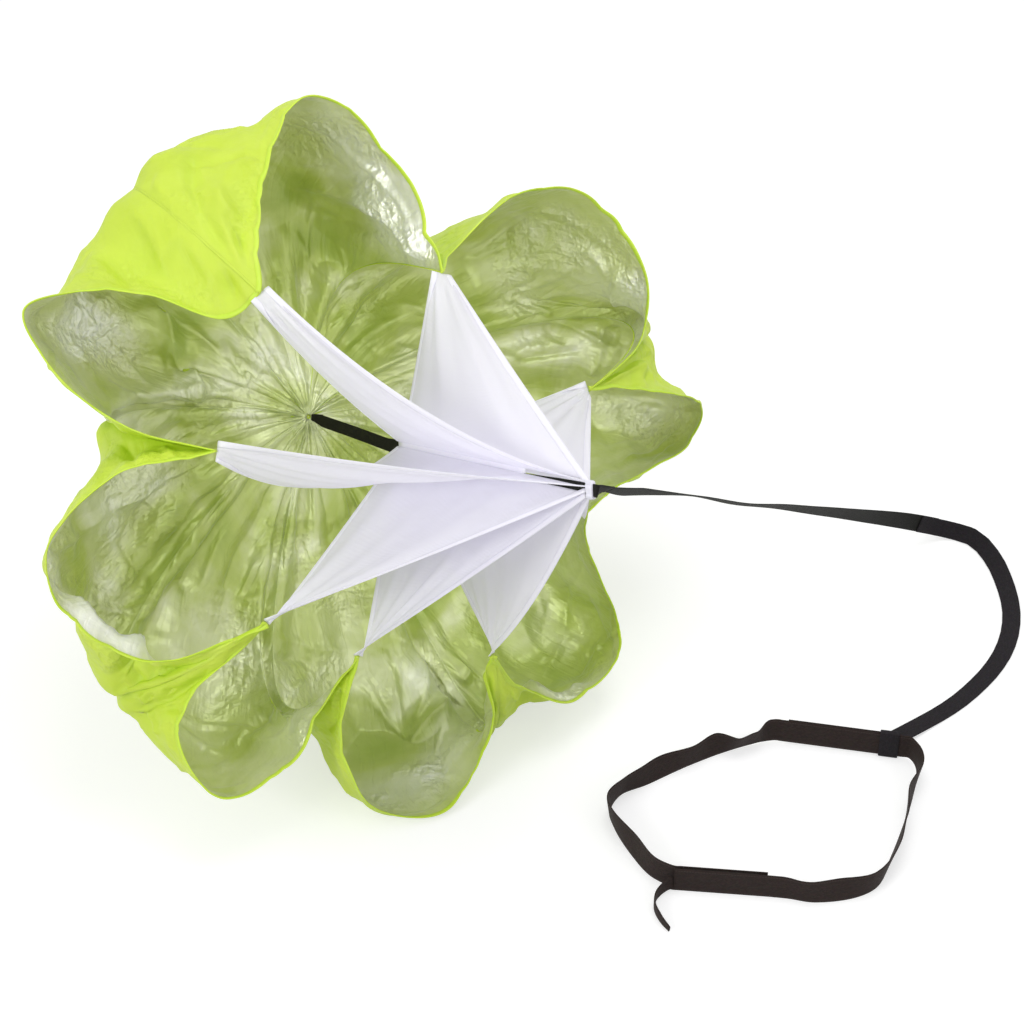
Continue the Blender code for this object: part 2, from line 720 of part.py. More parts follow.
def plan_points(shares):
    """Return points on the ground from shares of the belt's span."""
    return [
        np.array((BELT_CENTRE_X + BELT_SPAN * x, BELT_CENTRE_Y + BELT_SPAN * y, 0.0))
        for x, y in shares
    ]


def belt_straight():
    """Return the straight back's ends, its direction and its outward side."""
    left, right = plan_points(BACK_SHARES)
    along = unit(right - left)
    return left, right, along, np.array((-along[1], along[0], 0.0))


def overlap_line():
    """Return the overlap's ends, its direction and its inward side."""
    left, right = plan_points(OVERLAP_SHARES)
    along = unit(right - left)
    return left, right, along, np.array((-along[1], along[0], 0.0))


def layer_offset():
    """Return how far each belt layer lies from the middle of the overlap."""
    tapes = TAPE_THICKNESS + RUNNING_GAP * 1.5
    return tapes + BELT_THICKNESS / 2


def belt_lift():
    """Return how far the tow loop under the belt holds its back up."""
    return RUNNING_GAP + STRAP_THICKNESS + LOOSE_GAP


def belt_path():
    """Return the belt's bottom line in plan, with its lift as height."""
    left, right, along, _ = belt_straight()
    low, high, lap, inward = overlap_line()
    shift = inward * layer_offset()
    inset = along * BELT_STRAIGHT_INSET
    ease = lap * BELT_STRAIGHT_INSET
    points = [high + shift, low + ease + shift, low + shift]
    points += plan_points(BELT_LEFT_ROUTE_SHARES)
    points += [left, left + inset, right - inset, right]
    points += plan_points(BELT_RIGHT_ROUTE_SHARES)
    points += [high - shift, high - ease - shift, low - shift]
    path = smooth_path(points, BELT_SEGMENTS + 1)
    place = (path - left) @ along
    away = np.maximum(np.maximum(-place, place - np.linalg.norm(right - left)), 0.0)
    aside = np.abs(np.cross(path - left, along)[:, 2])
    away = np.hypot(away, np.where(aside < BELT_WIDTH, aside, LIFT_RUN))
    rise = 0.5 + 0.5 * np.cos(math.pi * np.clip(away / LIFT_RUN, 0.0, 1.0))
    path[:, 2] = belt_lift() * rise
    return path


def stand_up(path, widths):
    """Return the centre line and width direction of webbing on its edge."""
    across = np.tile((0.0, 0.0, 1.0), (len(path), 1))
    centre = path.copy()
    centre[:, 2] = path[:, 2] + np.broadcast_to(widths, (len(path),)) / 2
    return centre, across


def add_standing(collection, name, path, widths, thickness, material, parent):
    """Add webbing that stands on its edge along a line on the ground."""
    centre, across = stand_up(path, widths)
    grid = ribbon_grid(centre, across, widths)
    return add_sheet(collection, name, local_grid(grid, parent), thickness,
                     material, parent)


def local_grid(grid, parent):
    """Return a world grid in its parent's frame, which is only moved."""
    return grid - np.array(parent.location)


def straight_line(start, end, count=2):
    """Return count points on the line between two points."""
    return start + (end - start) * np.linspace(0.0, 1.0, count)[:, None]


def add_belt(collection, parent):
    """Add the waist belt's band, doubler, hook and loop tapes and tail."""
    add_standing(collection, "belt_band", belt_path(), BELT_WIDTH, BELT_THICKNESS,
                 "brown_webbing", parent)

    left, right, along, outward = belt_straight()
    inset = along * (2 * BELT_STRAIGHT_INSET)
    shift = outward * (BELT_THICKNESS + RUNNING_GAP)
    shift = shift + np.array((0.0, 0.0, belt_lift()))
    line = straight_line(left + inset + shift, right - inset * DOUBLER_END_SHARE + shift)
    add_standing(collection, "belt_doubler", line, BELT_WIDTH, BELT_THICKNESS,
                 "brown_webbing", parent)

    low, high, along, inward = overlap_line()
    margin = (BELT_WIDTH - TAPE_WIDTH) / 2
    step = (TAPE_THICKNESS + RUNNING_GAP) / 2
    for name, side in (("loop_tape", 1.0), ("hook_tape", -1.0)):
        shift = inward * (side * step) + np.array((0.0, 0.0, margin))
        line = straight_line(low + along * TAPE_INSET + shift,
                             high - along * TAPE_INSET + shift)
        add_standing(collection, name, line, TAPE_WIDTH, TAPE_THICKNESS,
                     "hook_tape", parent)

    start = low - inward * layer_offset() - along * (2 * RUNNING_GAP)
    knee = start - along * (BELT_STRAIGHT_INSET / 2)
    path = smooth_path([start, knee] + plan_points(TAIL_ROUTE_SHARES), TAIL_SEGMENTS + 1)
    shares = np.interp(np.linspace(0.0, 1.0, len(path)),
                       np.linspace(0.0, 1.0, len(TAIL_WIDTH_SHARES)), TAIL_WIDTH_SHARES)
    add_standing(collection, "belt_tail", path, BELT_WIDTH * shares, BELT_THICKNESS,
                 "brown_webbing", parent)


def rounded_corners(points, radius, steps=4):
    """Return a line through the points with its inner corners rounded."""
    points = np.asarray(points, dtype=float)
    path = [points[0]]
    for before, corner, after in zip(points[:-2], points[1:-1], points[2:]):
        start = corner + unit(before - corner) * radius
        end = corner + unit(after - corner) * radius
        for share in np.linspace(0.0, 1.0, steps + 1):
            rest = 1.0 - share
            path.append(rest * rest * start + 2 * rest * share * corner + share * share * end)
    path.append(points[-1])
    return np.array(path)


def loop_centre():
    """Return the point on the belt's line that the tow loop goes round."""
    _, right, along, _ = belt_straight()
    return right - along * LOOP_INSET


def pivot_point():
    """Return the point where the tow strap's end turns on its loop."""
    outward = belt_straight()[3]
    return loop_centre() + outward * PIVOT_REACH


def add_tow_loop(collection, parent):
    """Add the webbing loop that goes round the belt's doubled back."""
    _, _, along, outward = belt_straight()
    up = np.array((0.0, 0.0, 1.0))
    half = STRAP_THICKNESS / 2
    near = -(BELT_THICKNESS / 2 + LOOSE_GAP + half)
    far = 1.5 * BELT_THICKNESS + RUNNING_GAP + LOOSE_GAP + half
    bottom = RUNNING_GAP + half
    lap = bottom + STRAP_THICKNESS + RUNNING_GAP
    top = belt_lift() + BELT_WIDTH + LOOSE_GAP + half
    profile = ((NECK_LENGTH, lap), (far, lap), (far, top), (near, top),
               (near, bottom), (NECK_LENGTH, bottom))
    corners = [outward * out + up * height for out, height in profile]
    path = rounded_corners(corners, STRAP_THICKNESS) + loop_centre()
    across = np.tile(along, (len(path), 1))
    grid = ribbon_grid(path, across, STRAP_WIDTH)
    add_sheet(collection, "tow_loop", local_grid(grid, parent), STRAP_THICKNESS,
              "plum_webbing", parent)


def build():
    """Build the whole speed parachute."""
    clear_scene()
    collection = make_collection(OBJECT_NAME)
    canopy_frame = add_empty(collection, "canopy_frame", canopy_matrix())
    tow_pivot = add_empty(collection, "tow_pivot", Matrix.Translation(pivot_point()))
    belt_frame = add_empty(collection, "belt_frame", Matrix.Translation(loop_centre()))
    add_gores(collection, canopy_frame)
    add_fins(collection, canopy_frame)
    add_crown_patch(collection, canopy_frame)
    add_centre_strap(collection, canopy_frame)
    add_strap_covers(collection, canopy_frame)
    add_tow_straps(collection)
    add_tow_loop(collection, tow_pivot)
    add_belt(collection, belt_frame)
    bpy.context.view_layer.update()


build()
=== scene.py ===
"""Looks of a speed parachute for sprint training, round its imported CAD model.

An open canopy of eight lobes stands on its lower lobes. Its cloth is lime
outside and has a silvered olive coating inside. Eight sheer fins tie its free
edge to a webbing strap on its axis. A tow strap runs from the strap's end down
to the ground and to a waist belt that stands on its edge.

Lengths are metres and +Z is up. Cloth and straps are surfaces of two
parameters, worked out as whole numpy arrays.
"""

import logging
import math
from collections.abc import Mapping, Sequence
from dataclasses import dataclass
from enum import Enum, IntEnum

import bpy
import numpy as np
from bpy.types import Material, Node, NodeSocket, NodeTree, Object
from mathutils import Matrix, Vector


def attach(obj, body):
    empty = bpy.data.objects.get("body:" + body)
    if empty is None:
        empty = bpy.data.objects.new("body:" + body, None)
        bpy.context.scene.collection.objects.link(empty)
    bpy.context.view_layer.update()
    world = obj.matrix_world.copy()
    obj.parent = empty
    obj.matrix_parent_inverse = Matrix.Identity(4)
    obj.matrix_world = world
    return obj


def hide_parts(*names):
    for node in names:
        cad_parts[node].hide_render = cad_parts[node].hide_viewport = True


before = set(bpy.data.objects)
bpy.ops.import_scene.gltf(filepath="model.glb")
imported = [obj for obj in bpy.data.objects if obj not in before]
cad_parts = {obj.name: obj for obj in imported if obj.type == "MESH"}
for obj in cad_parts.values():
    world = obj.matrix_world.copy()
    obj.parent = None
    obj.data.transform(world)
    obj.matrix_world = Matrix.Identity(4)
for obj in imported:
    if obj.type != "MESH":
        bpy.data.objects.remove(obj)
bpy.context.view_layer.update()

log = logging.getLogger("speed_parachute")

Array = np.ndarray
Point = tuple[float, float, float]
Span = tuple[float, float]

MM = 0.001
UP = np.array((0.0, 0.0, 1.0))

# Powers of the cosine and the sine that flatten a ring into a section
STRAP_POWERS = (0.3, 0.6)
SLEEVE_POWERS = (0.3, 0.5)

# A Wave Texture's scale at which its bands are one unit apart
WAVE_UNIT = math.tau / 20.0


class Body(Enum):
    """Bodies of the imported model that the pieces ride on."""

    CANOPY = "canopy"
    TOW_LOOP = "tow_loop"
    BELT = "belt"


class Slot(Enum):
    """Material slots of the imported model's record."""

    TAFFETA = "lime_taffeta"
    MESH = "white_mesh"
    BLACK_WEBBING = "black_webbing"
    PLUM_WEBBING = "plum_webbing"
    BROWN_WEBBING = "brown_webbing"
    HOOK_TAPE = "hook_tape"
    WHITE_TAPE = "white_tape"


class Seed(IntEnum):
    """First seed of each kind of random draw, one more for each gore or fin."""

    PACKED = 20
    FOLDS = 40
    SLACK = 60
    FIN_PLEATS = 80
    EDGE = 100
    FACETS = 160


# Arithmetic


def unit(vectors: Array) -> Array:
    """Return vectors at length one, along the last axis."""
    return vectors / np.linalg.norm(vectors, axis=-1, keepdims=True)


def smoothstep(low: float, high: float, value: Array) -> Array:
    """Return 0 below low, 1 above high and 3t^2 - 2t^3 between them."""
    share = np.clip((value - low) / (high - low), 0.0, 1.0)
    return share * share * (3.0 - 2.0 * share)


def edge_fade(share: Array, low: float, high: float) -> Array:
    """Return 1 inside a span of 0 to 1, eased to 0 over a margin at each end."""
    return smoothstep(0.0, low, share) * smoothstep(0.0, high, 1.0 - share)


def smooth_table(marks: Array, values: Array, wanted: Array) -> Array:
    """Return a table's values, eased with 3t^2 - 2t^3 between its rows.

    Args:
        marks: The table's marks, rising.
        values: Its value at each mark.
        wanted: Marks to find values at.

    Returns:
        One value for each wanted mark.
    """
    place = np.clip(np.searchsorted(marks, wanted, side="right") - 1, 0, len(marks) - 2)
    share = smoothstep(0.0, 1.0, (wanted - marks[place]) / (marks[place + 1] - marks[place]))
    return values[place] + (values[place + 1] - values[place]) * share


def path_marks(path: Array) -> Array:
    """Return the distance along a path at each of its points."""
    steps = np.linalg.norm(np.diff(path[:, :3], axis=0), axis=1)
    return np.concatenate(((0.0,), np.cumsum(steps)))


def rows_at(path: Array, marks: Array, wanted: Array) -> Array:
    """Return the rows of a path at the wanted distances along it."""
    return np.stack([np.interp(wanted, marks, column) for column in path.T], axis=1)


def even_steps(path: Array, count: int) -> Array:
    """Return count rows at equal distances along a path."""
    marks = path_marks(path)
    return rows_at(path, marks, np.linspace(0.0, marks[-1], count))


# Knots that each level of the centripetal spline's pyramid blends between
KNOT_PAIRS = (((0, 1), (1, 2), (2, 3)), ((0, 2), (1, 3)), ((1, 2),))


def smooth_path(points: Sequence, count: int, samples: int = 24) -> Array:
    """Return points at equal steps along a centripetal Catmull-Rom spline.

    Args:
        points: Knots, of which the first three columns are the place.
        count: How many points to return.
        samples: Points worked out between two knots.

    Returns:
        An array of count rows.
    """
    points = np.asarray(points, dtype=float)
    first = 2 * points[0] - points[1]
    last = 2 * points[-1] - points[-2]
    knots = np.vstack((first, points, last))
    spans = []
    for index in range(1, len(knots) - 2):
        span = knots[index - 1:index + 3]
        steps = np.sqrt(np.linalg.norm(np.diff(span[:, :3], axis=0), axis=1))
        marks = np.concatenate(((0.0,), np.cumsum(steps)))
        here = np.linspace(marks[1], marks[2], samples, endpoint=False)[:, None]
        level = list(span)
        for pairs in KNOT_PAIRS:
            shares = [(here - marks[low]) / (marks[high] - marks[low]) for low, high in pairs]
            level = [before * (1 - share) + after * share
                     for before, after, share in zip(level, level[1:], shares)]
        spans.append(level[0])
    spans.append(knots[-2][None, :])
    return even_steps(np.vstack(spans), count)


def tangents(path: Array) -> Array:
    """Return the unit direction of a path at each of its points."""
    return unit(np.gradient(path[:, :3], axis=0))


def square_to(vectors: Array, direction: Array) -> Array:
    """Return vectors turned square to a direction, at length one."""
    return unit(vectors - direction * np.sum(vectors * direction, axis=-1, keepdims=True))


def turn_steps(count: int) -> Array:
    """Return the angles of count even steps round a circle."""
    return np.linspace(0.0, math.tau, count, endpoint=False)


def flat_ring(angle: Array, powers: Span) -> tuple[Array, Array]:
    """Return a ring flattened as sign(w) |w|^p, for w its cosine and its sine."""
    waves = zip((np.cos(angle), np.sin(angle)), powers)
    return tuple(np.sign(wave) * np.abs(wave) ** power for wave, power in waves)


def carry_section(path: Array, across: Array, face: Array,
                  x: Array, y: Array) -> Array:
    """Return the rings path + x across + y face of a section carried along a path."""
    return path[:, None, :] + across[:, None, :] * x[..., None] + face[:, None, :] * y[..., None]


def metric_uv(grid: Array) -> Array:
    """Return a grid's coordinates in metres along its columns and rows.

    U is the distance across each row from its middle and V the distance along
    each column from its first point.

    Args:
        grid: Points, row by row.

    Returns:
        U and V of each point.
    """
    across = np.linalg.norm(np.diff(grid, axis=1), axis=2)
    along = np.linalg.norm(np.diff(grid, axis=0), axis=2)
    u = np.concatenate((np.zeros((len(grid), 1)), np.cumsum(across, axis=1)), axis=1)
    v = np.concatenate((np.zeros((1, grid.shape[1])), np.cumsum(along, axis=0)), axis=0)
    return np.stack((u - u[:, -1:] / 2, v), axis=2)


def grid_normals(grid: Array) -> Array:
    """Return a grid's unit normals, the cross product of columns and rows."""
    return unit(np.cross(np.gradient(grid, axis=1), np.gradient(grid, axis=0)))


# Meshes


def grid_faces(index: Array) -> list[list[int]]:
    """Return the four-cornered faces between a grid's vertex numbers."""
    corners = (index[:-1, :-1], index[:-1, 1:], index[1:, 1:], index[1:, :-1])
    return np.stack(corners, axis=-1).reshape(-1, 4).tolist()


def finish_piece(piece: Object, materials: Sequence[Material],
                 body: Body) -> Object:
    """Give a piece its materials and its body.

    Args:
        piece: The object.
        materials: Materials in the order of the mesh's indices.
        body: The body that it rides on.

    Returns:
        The same object.
    """
    for material in materials:
        piece.data.materials.append(material)
    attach(piece, body.value)
    log.info("%s: %d faces", piece.name, len(piece.data.polygons))
    return piece


def mesh_object(name: str, points: Array, faces: list[list[int]],
                uv: Array) -> Object:
    """Make a smooth mesh object at the origin.

    Args:
        name: The object's name.
        points: Vertices, in world metres.
        faces: Lists of vertex indices.
        uv: One U and V for each vertex, in metres.

    Returns:
        The new object, linked to the scene.
    """
    mesh = bpy.data.meshes.new(name)
    mesh.from_pydata(points.tolist(), [], faces)
    layer = mesh.uv_layers.new(name="UVMap")
    index = np.empty(len(mesh.loops), dtype=np.int32)
    mesh.loops.foreach_get("vertex_index", index)
    layer.data.foreach_set("uv", uv[index].astype(np.float32).ravel())
    mesh.shade_smooth()
    mesh.update()
    piece = bpy.data.objects.new(name, mesh)
    bpy.context.scene.collection.objects.link(piece)
    return piece


def sheet_object(name: str, grid: Array, thickness: float,
                 inner_offset: int = 0) -> Object:
    """Make a sheet from a grid of points, with Solidify for its thickness.

    Args:
        name: The object's name.
        grid: Points, row by row.
        thickness: The cloth's thickness.
        inner_offset: Material offset of the side away from the normals.

    Returns:
        The new object.
    """
    rows, columns, _ = grid.shape
    faces = grid_faces(np.arange(rows * columns).reshape(rows, columns))
    piece = mesh_object(name, grid.reshape(-1, 3), faces, metric_uv(grid).reshape(-1, 2))
    solidify = piece.modifiers.new("thickness", "SOLIDIFY")
    solidify.thickness = thickness
    solidify.offset = 0.0
    solidify.material_offset = inner_offset
    solidify.material_offset_rim = inner_offset
    return piece


def tube_object(name: str, rings: Array, uv: Array) -> Object:
    """Make a closed skin from rings of points, with both ends capped.

    Args:
        name: The object's name.
        rings: Points, ring by ring, each ring going once round.
        uv: U and V for each point, in metres.

    Returns:
        The new object.
    """
    count, size, _ = rings.shape
    index = np.arange(count * size).reshape(count, size)
    faces = grid_faces(np.hstack((index, index[:, :1])))
    faces.append(index[0][::-1].tolist())
    faces.append(index[-1].tolist())
    return mesh_object(name, rings.reshape(-1, 3), faces, uv.reshape(-1, 2))


def webbing_object(name: str, path: Array, across: Array, width: float,
                   thickness: float, points: int = 20) -> Object:
    """Make flat webbing with rounded selvedges along a path.

    Its section is the flattened ring x = w/2 cos^0.3, y = t/2 sin^0.6, carried
    along the path with x across it. U runs along the webbing and V across it.

    Args:
        name: The object's name.
        path: Centre line.
        across: Unit direction of the width at each point of the path.
        width: Width, one number or one for each point.
        thickness: Thickness.
        points: Points round the section.

    Returns:
        The new object.
    """
    side, rise = flat_ring(turn_steps(points) + math.pi / points, STRAP_POWERS)
    widths = np.broadcast_to(width, (len(path),))
    direction = tangents(path)
    across = square_to(across, direction)
    offset = widths[:, None] * (side / 2)[None, :]
    rings = carry_section(path[:, :3], across, np.cross(direction, across), offset,
                          rise * thickness / 2)
    along = np.broadcast_to(path_marks(path)[:, None], offset.shape)
    return tube_object(name, rings, np.stack((along, offset), axis=2))


# Node tools


def srgb(code: str) -> tuple[float, float, float, float]:
    """Turn an sRGB hex colour into a linear one.

    Args:
        code: The colour, such as "#C8F564".

    Returns:
        Red, green, blue and an alpha of 1.
    """
    values = [int(code[place:place + 2], 16) / 255 for place in (1, 3, 5)]
    linear = [v / 12.92 if v <= 0.04045 else ((v + 0.055) / 1.055) ** 2.4 for v in values]
    return (*linear, 1.0)


def set_node(tree: NodeTree, node: Node, settings: Mapping, links: Mapping) -> None:
    """Give a node its settings and links.

    Args:
        tree: The node tree.
        node: The node.
        settings: Values of inputs by name or number, or properties by name.
        links: Output sockets by the input's name or number.
    """
    for key, value in settings.items():
        if isinstance(key, int) or key in node.inputs:
            node.inputs[key].default_value = value
        else:
            setattr(node, key, value)
    for key, source in links.items():
        tree.links.new(source, node.inputs[key])


def add_node(tree: NodeTree, kind: str, settings: Mapping | None = None,
             links: Mapping | None = None) -> Node:
    """Add a node with its settings and links.

    Args:
        tree: The node tree.
        kind: The node's type name.
        settings: As for set_node.
        links: As for set_node.

    Returns:
        The new node.
    """
    node = tree.nodes.new(kind)
    set_node(tree, node, settings or {}, links or {})
    return node


def new_material(name: str) -> tuple[Material, NodeTree, Node]:
    """Make a material with a Principled node.

    Args:
        name: The material's name.

    Returns:
        The material, its node tree and its Principled node.
    """
    material = bpy.data.materials.new(name)
    material.use_nodes = True
    tree = material.node_tree
    return material, tree, tree.nodes["Principled BSDF"]


def set_ramp(node: Node, stops: Sequence[tuple[float, tuple]]) -> None:
    """Set a colour ramp's stops.

    Args:
        node: The ColorRamp node.
        stops: Pairs of place and colour, in order.
    """
    ramp = node.color_ramp
    while len(ramp.elements) < len(stops):
        ramp.elements.new(0.5)
    for element, (place, colour) in zip(ramp.elements, stops):
        element.position = place
        element.color = colour


# Finishes


@dataclass(frozen=True)
class CrumpledCloth:
    """Coated polyester taffeta, woven, coated and packed into a small bag.

    Packing leaves patches of sharp creases some tens of millimetres apart, and
    the pull of the air draws fine sharp folds along the cloth between them. A shiny
    coating shows both as pale streaks. The weave is a thread every 0.3 mm,
    which the render can't show, so it is left to the roughness. Thin cloth
    lets light through, which is its share of scattering below the surface. An
    attribute of the gores paints light and shade into the coating: above 0 it
    lightens the colour as painted light and below 0 darkens it as painted shade,
    and it also sets how deep the crumple is.
    """

    name: str
    tones: tuple[str, str, str, str]
    roughness: float
    metallic: float
    coat: float
    glow: float
    silver_and_painted_light: float
    crease_mm: float
    relief_mm: float
    sheen: float = 0.0
    draw_mm: float = 13.0
    draw_relief_mm: float = 1.5
    draw_stretch: float = 0.14
    draw_bend: float = 0.4
    warp_mm: float = 71.43
    warp_reach_mm: float = 30.0
    fine_creases: float = 2.4
    fine_share: float = 0.50
    patch_mm: float = 117.65
    patch_edge: Span = (0.46, 0.58)
    between_patches: float = 0.18
    shade_relief: float = 0.25
    light_relief: float = 1.30
    tone_mm: float = 125.0
    tone_stops: tuple[float, float, float, float] = (0.28, 0.42, 0.60, 0.82)
    spot_share: float = 0.24
    coat_roughness: float = 0.20
    sheen_roughness: float = 0.35
    scatter: Point = (1.0, 1.0, 0.45)
    scatter_mm: float = 4.0

    def patches(self, tree: NodeTree, coords: NodeSocket) -> NodeSocket:
        """Return how deep the crumple is, by patches and by the gores' painted light and shade.

        Args:
            tree: The material's node tree.
            coords: Object coordinates.

        Returns:
            A socket with the depth's share.
        """
        low, high = self.patch_edge
        noise = add_node(tree, "ShaderNodeTexNoise",
                         {"Scale": 1.0 / (self.patch_mm * MM), "Detail": 1.0}, {"Vector": coords})
        mask = add_node(tree, "ShaderNodeMapRange",
                        {"From Min": low, "From Max": high, "To Min": self.between_patches,
                         "To Max": 1.0, "interpolation_type": "SMOOTHSTEP"},
                        {"Value": noise.outputs["Fac"]})
        # Less deep under painted shade, deeper under painted light
        painted = add_node(tree, "ShaderNodeAttribute", {"attribute_name": "silver_and_painted_light"})
        depth_by_light = add_node(tree, "ShaderNodeMapRange",
                        {"From Min": -0.5, "From Max": 0.5, "To Min": self.shade_relief,
                         "To Max": self.light_relief}, {"Value": painted.outputs["Fac"]})
        depth = add_node(tree, "ShaderNodeMath", {"operation": "MULTIPLY"},
                         {0: mask.outputs["Result"], 1: depth_by_light.outputs["Result"]})
        return depth.outputs[0]

    def crumple(self, tree: NodeTree, coords: NodeSocket) -> Node:
        """Return the bump of the crumpled patches, flat facets at two sizes.

        Args:
            tree: The material's node tree.
            coords: Object coordinates.

        Returns:
            A Bump node.
        """
        warp = add_node(tree, "ShaderNodeTexNoise",
                        {"Scale": 1.0 / (self.warp_mm * MM), "Detail": 3.0}, {"Vector": coords})
        push = add_node(tree, "ShaderNodeVectorMath",
                        {"operation": "MULTIPLY_ADD", 1: (self.warp_reach_mm * MM,) * 3},
                        {0: warp.outputs["Color"], 2: coords})
        coarse, fine = (
            add_node(tree, "ShaderNodeTexVoronoi",
                     {"Scale": creases / (self.crease_mm * MM), "distance": "MANHATTAN"},
                     {"Vector": push.outputs[0]})
            for creases in (1.0, self.fine_creases))
        both = add_node(tree, "ShaderNodeMath", {"operation": "MULTIPLY_ADD", 1: self.fine_share},
                        {0: fine.outputs["Distance"], 2: coarse.outputs["Distance"]})
        height = add_node(tree, "ShaderNodeMath", {"operation": "MULTIPLY"},
                          {0: both.outputs[0], 1: self.patches(tree, coords)})
        return add_node(tree, "ShaderNodeBump", {"Strength": 1.0, "Distance": self.relief_mm * MM},
                        {"Height": height.outputs[0]})

    def relief(self, tree: NodeTree, coords: NodeSocket) -> Node:
        """Return the bump of the crumpled patches and the drawn folds.

        The folds are |n - 0.5| of a noise n that is stretched along the cloth.

        Args:
            tree: The material's node tree.
            coords: Object coordinates.

        Returns:
            The last Bump node.
        """
        cloth = add_node(tree, "ShaderNodeUVMap", {"uv_map": "UVMap"}).outputs["UV"]
        step = self.draw_mm * MM
        drawn = add_node(tree, "ShaderNodeMapping",
                         {"Scale": (1.0 / step, self.draw_stretch / step, 1.0)}, {"Vector": cloth})
        folds = add_node(tree, "ShaderNodeTexNoise",
                         {"Scale": 1.0, "Detail": 1.5, "Distortion": self.draw_bend},
                         {"Vector": drawn.outputs["Vector"]})
        middle = add_node(tree, "ShaderNodeMath", {"operation": "SUBTRACT", 1: 0.5},
                          {0: folds.outputs["Fac"]})
        sharp = add_node(tree, "ShaderNodeMath", {"operation": "ABSOLUTE"}, {0: middle.outputs[0]})
        return add_node(tree, "ShaderNodeBump", {"Strength": 1.0, "Distance": self.draw_relief_mm * MM},
                        {"Height": sharp.outputs[0],
                         "Normal": self.crumple(tree, coords).outputs["Normal"]})

    def build(self) -> Material:
        """Build the material on Object coordinates and the cloth's own UV map.

        Returns:
            The material.
        """
        material, tree, shader = new_material(self.name)
        coords = add_node(tree, "ShaderNodeTexCoord").outputs["Object"]
        broad = add_node(tree, "ShaderNodeTexNoise",
                         {"Scale": 1.0 / (self.tone_mm * MM), "Detail": 4.0, "Distortion": 0.8},
                         {"Vector": coords}).outputs["Fac"]
        # The gores' attribute adds painted light (above 0) and painted shade (below 0) to the random tone
        # that picks the colour
        painted = add_node(tree, "ShaderNodeAttribute", {"attribute_name": "silver_and_painted_light"})
        tone = add_node(tree, "ShaderNodeMath", {"operation": "MULTIPLY_ADD", 1: self.spot_share},
                        {0: painted.outputs["Fac"], 2: broad})
        ramp = add_node(tree, "ShaderNodeValToRGB", {}, {"Fac": tone.outputs[0]})
        set_ramp(ramp, tuple(zip(self.tone_stops, map(srgb, self.tones))))
        rough = add_node(tree, "ShaderNodeMapRange",
                         {"From Min": 0.35, "From Max": 0.65, "To Min": self.roughness - 0.05,
                          "To Max": self.roughness + 0.06}, {"Value": broad})
        links = {"Base Color": ramp.outputs["Color"], "Roughness": rough.outputs["Result"],
                 "Normal": self.relief(tree, coords).outputs["Normal"]}
        if self.silver_and_painted_light:
            shine = add_node(tree, "ShaderNodeMapRange",
                             {"From Min": 0.40, "From Max": 0.62, "To Min": self.metallic,
                              "To Max": self.metallic + self.silver_and_painted_light}, {"Value": broad})
            links["Metallic"] = shine.outputs["Result"]
        set_node(tree, shader, {
            "Metallic": self.metallic, "Coat Weight": self.coat,
            "Coat Roughness": self.coat_roughness, "Sheen Weight": self.sheen,
            "Sheen Roughness": self.sheen_roughness, "Subsurface Weight": self.glow,
            "Subsurface Radius": self.scatter, "Subsurface Scale": self.scatter_mm * MM}, links)
        return material


@dataclass(frozen=True)
class SheerMesh:
    """Knitted polyester mesh, sheer and matt, with soft vertical threads.

    Its threads are 0.5 mm apart. They are drawn 6 mm apart, as the faint
    stripes that the photograph shows. Where the cloth doubles it looks white,
    and a single layer lets a little of what is behind it through. A little pale
    violet emission is painted light, a glow that lifts the mesh where it lies in shade.
    """

    name: str
    colour: str
    opacity: float
    thread_mm: float = 5.89
    painted_glow: float = 0.07
    painted_glow_colour: tuple[float, float, float, float] = (0.88, 0.86, 1.0, 1.0)
    cloud_share: float = 0.2356
    thread_share: float = 0.3
    relief_mm: float = 1.2
    roughness: float = 0.62
    scatter_mm: float = 4.0

    def build(self) -> Material:
        """Build the material on the piece's UV map, in metres.

        Returns:
            The material.
        """
        material, tree, shader = new_material(self.name)
        coords = add_node(tree, "ShaderNodeUVMap", {"uv_map": "UVMap"}).outputs["UV"]
        scaled = add_node(tree, "ShaderNodeVectorMath",
                          {"operation": "SCALE", "Scale": 1.0 / (self.thread_mm * MM)}, {0: coords})
        threads = add_node(tree, "ShaderNodeTexWave",
                           {"Scale": WAVE_UNIT, "Distortion": 1.6, "Detail": 2.0,
                            "bands_direction": "X"}, {"Vector": scaled.outputs[0]})
        clouds = add_node(tree, "ShaderNodeTexNoise", {"Scale": self.cloud_share, "Detail": 3.0},
                          {"Vector": scaled.outputs[0]})
        height = add_node(tree, "ShaderNodeMath", {"operation": "MULTIPLY_ADD", 1: self.thread_share},
                          {0: threads.outputs["Fac"], 2: clouds.outputs["Fac"]})
        bump = add_node(tree, "ShaderNodeBump", {"Strength": 0.14, "Distance": self.relief_mm * MM},
                        {"Height": height.outputs[0]})
        # The emission is painted light, a glow that lifts the mesh in shade
        set_node(tree, shader, {
            "Base Color": srgb(self.colour), "Roughness": self.roughness, "Alpha": self.opacity,
            "Emission Color": self.painted_glow_colour, "Emission Strength": self.painted_glow,
            "Subsurface Weight": 0.6, "Subsurface Radius": (1.0, 1.0, 1.0),
            "Subsurface Scale": self.scatter_mm * MM}, {"Normal": bump.outputs["Normal"]})
        return material


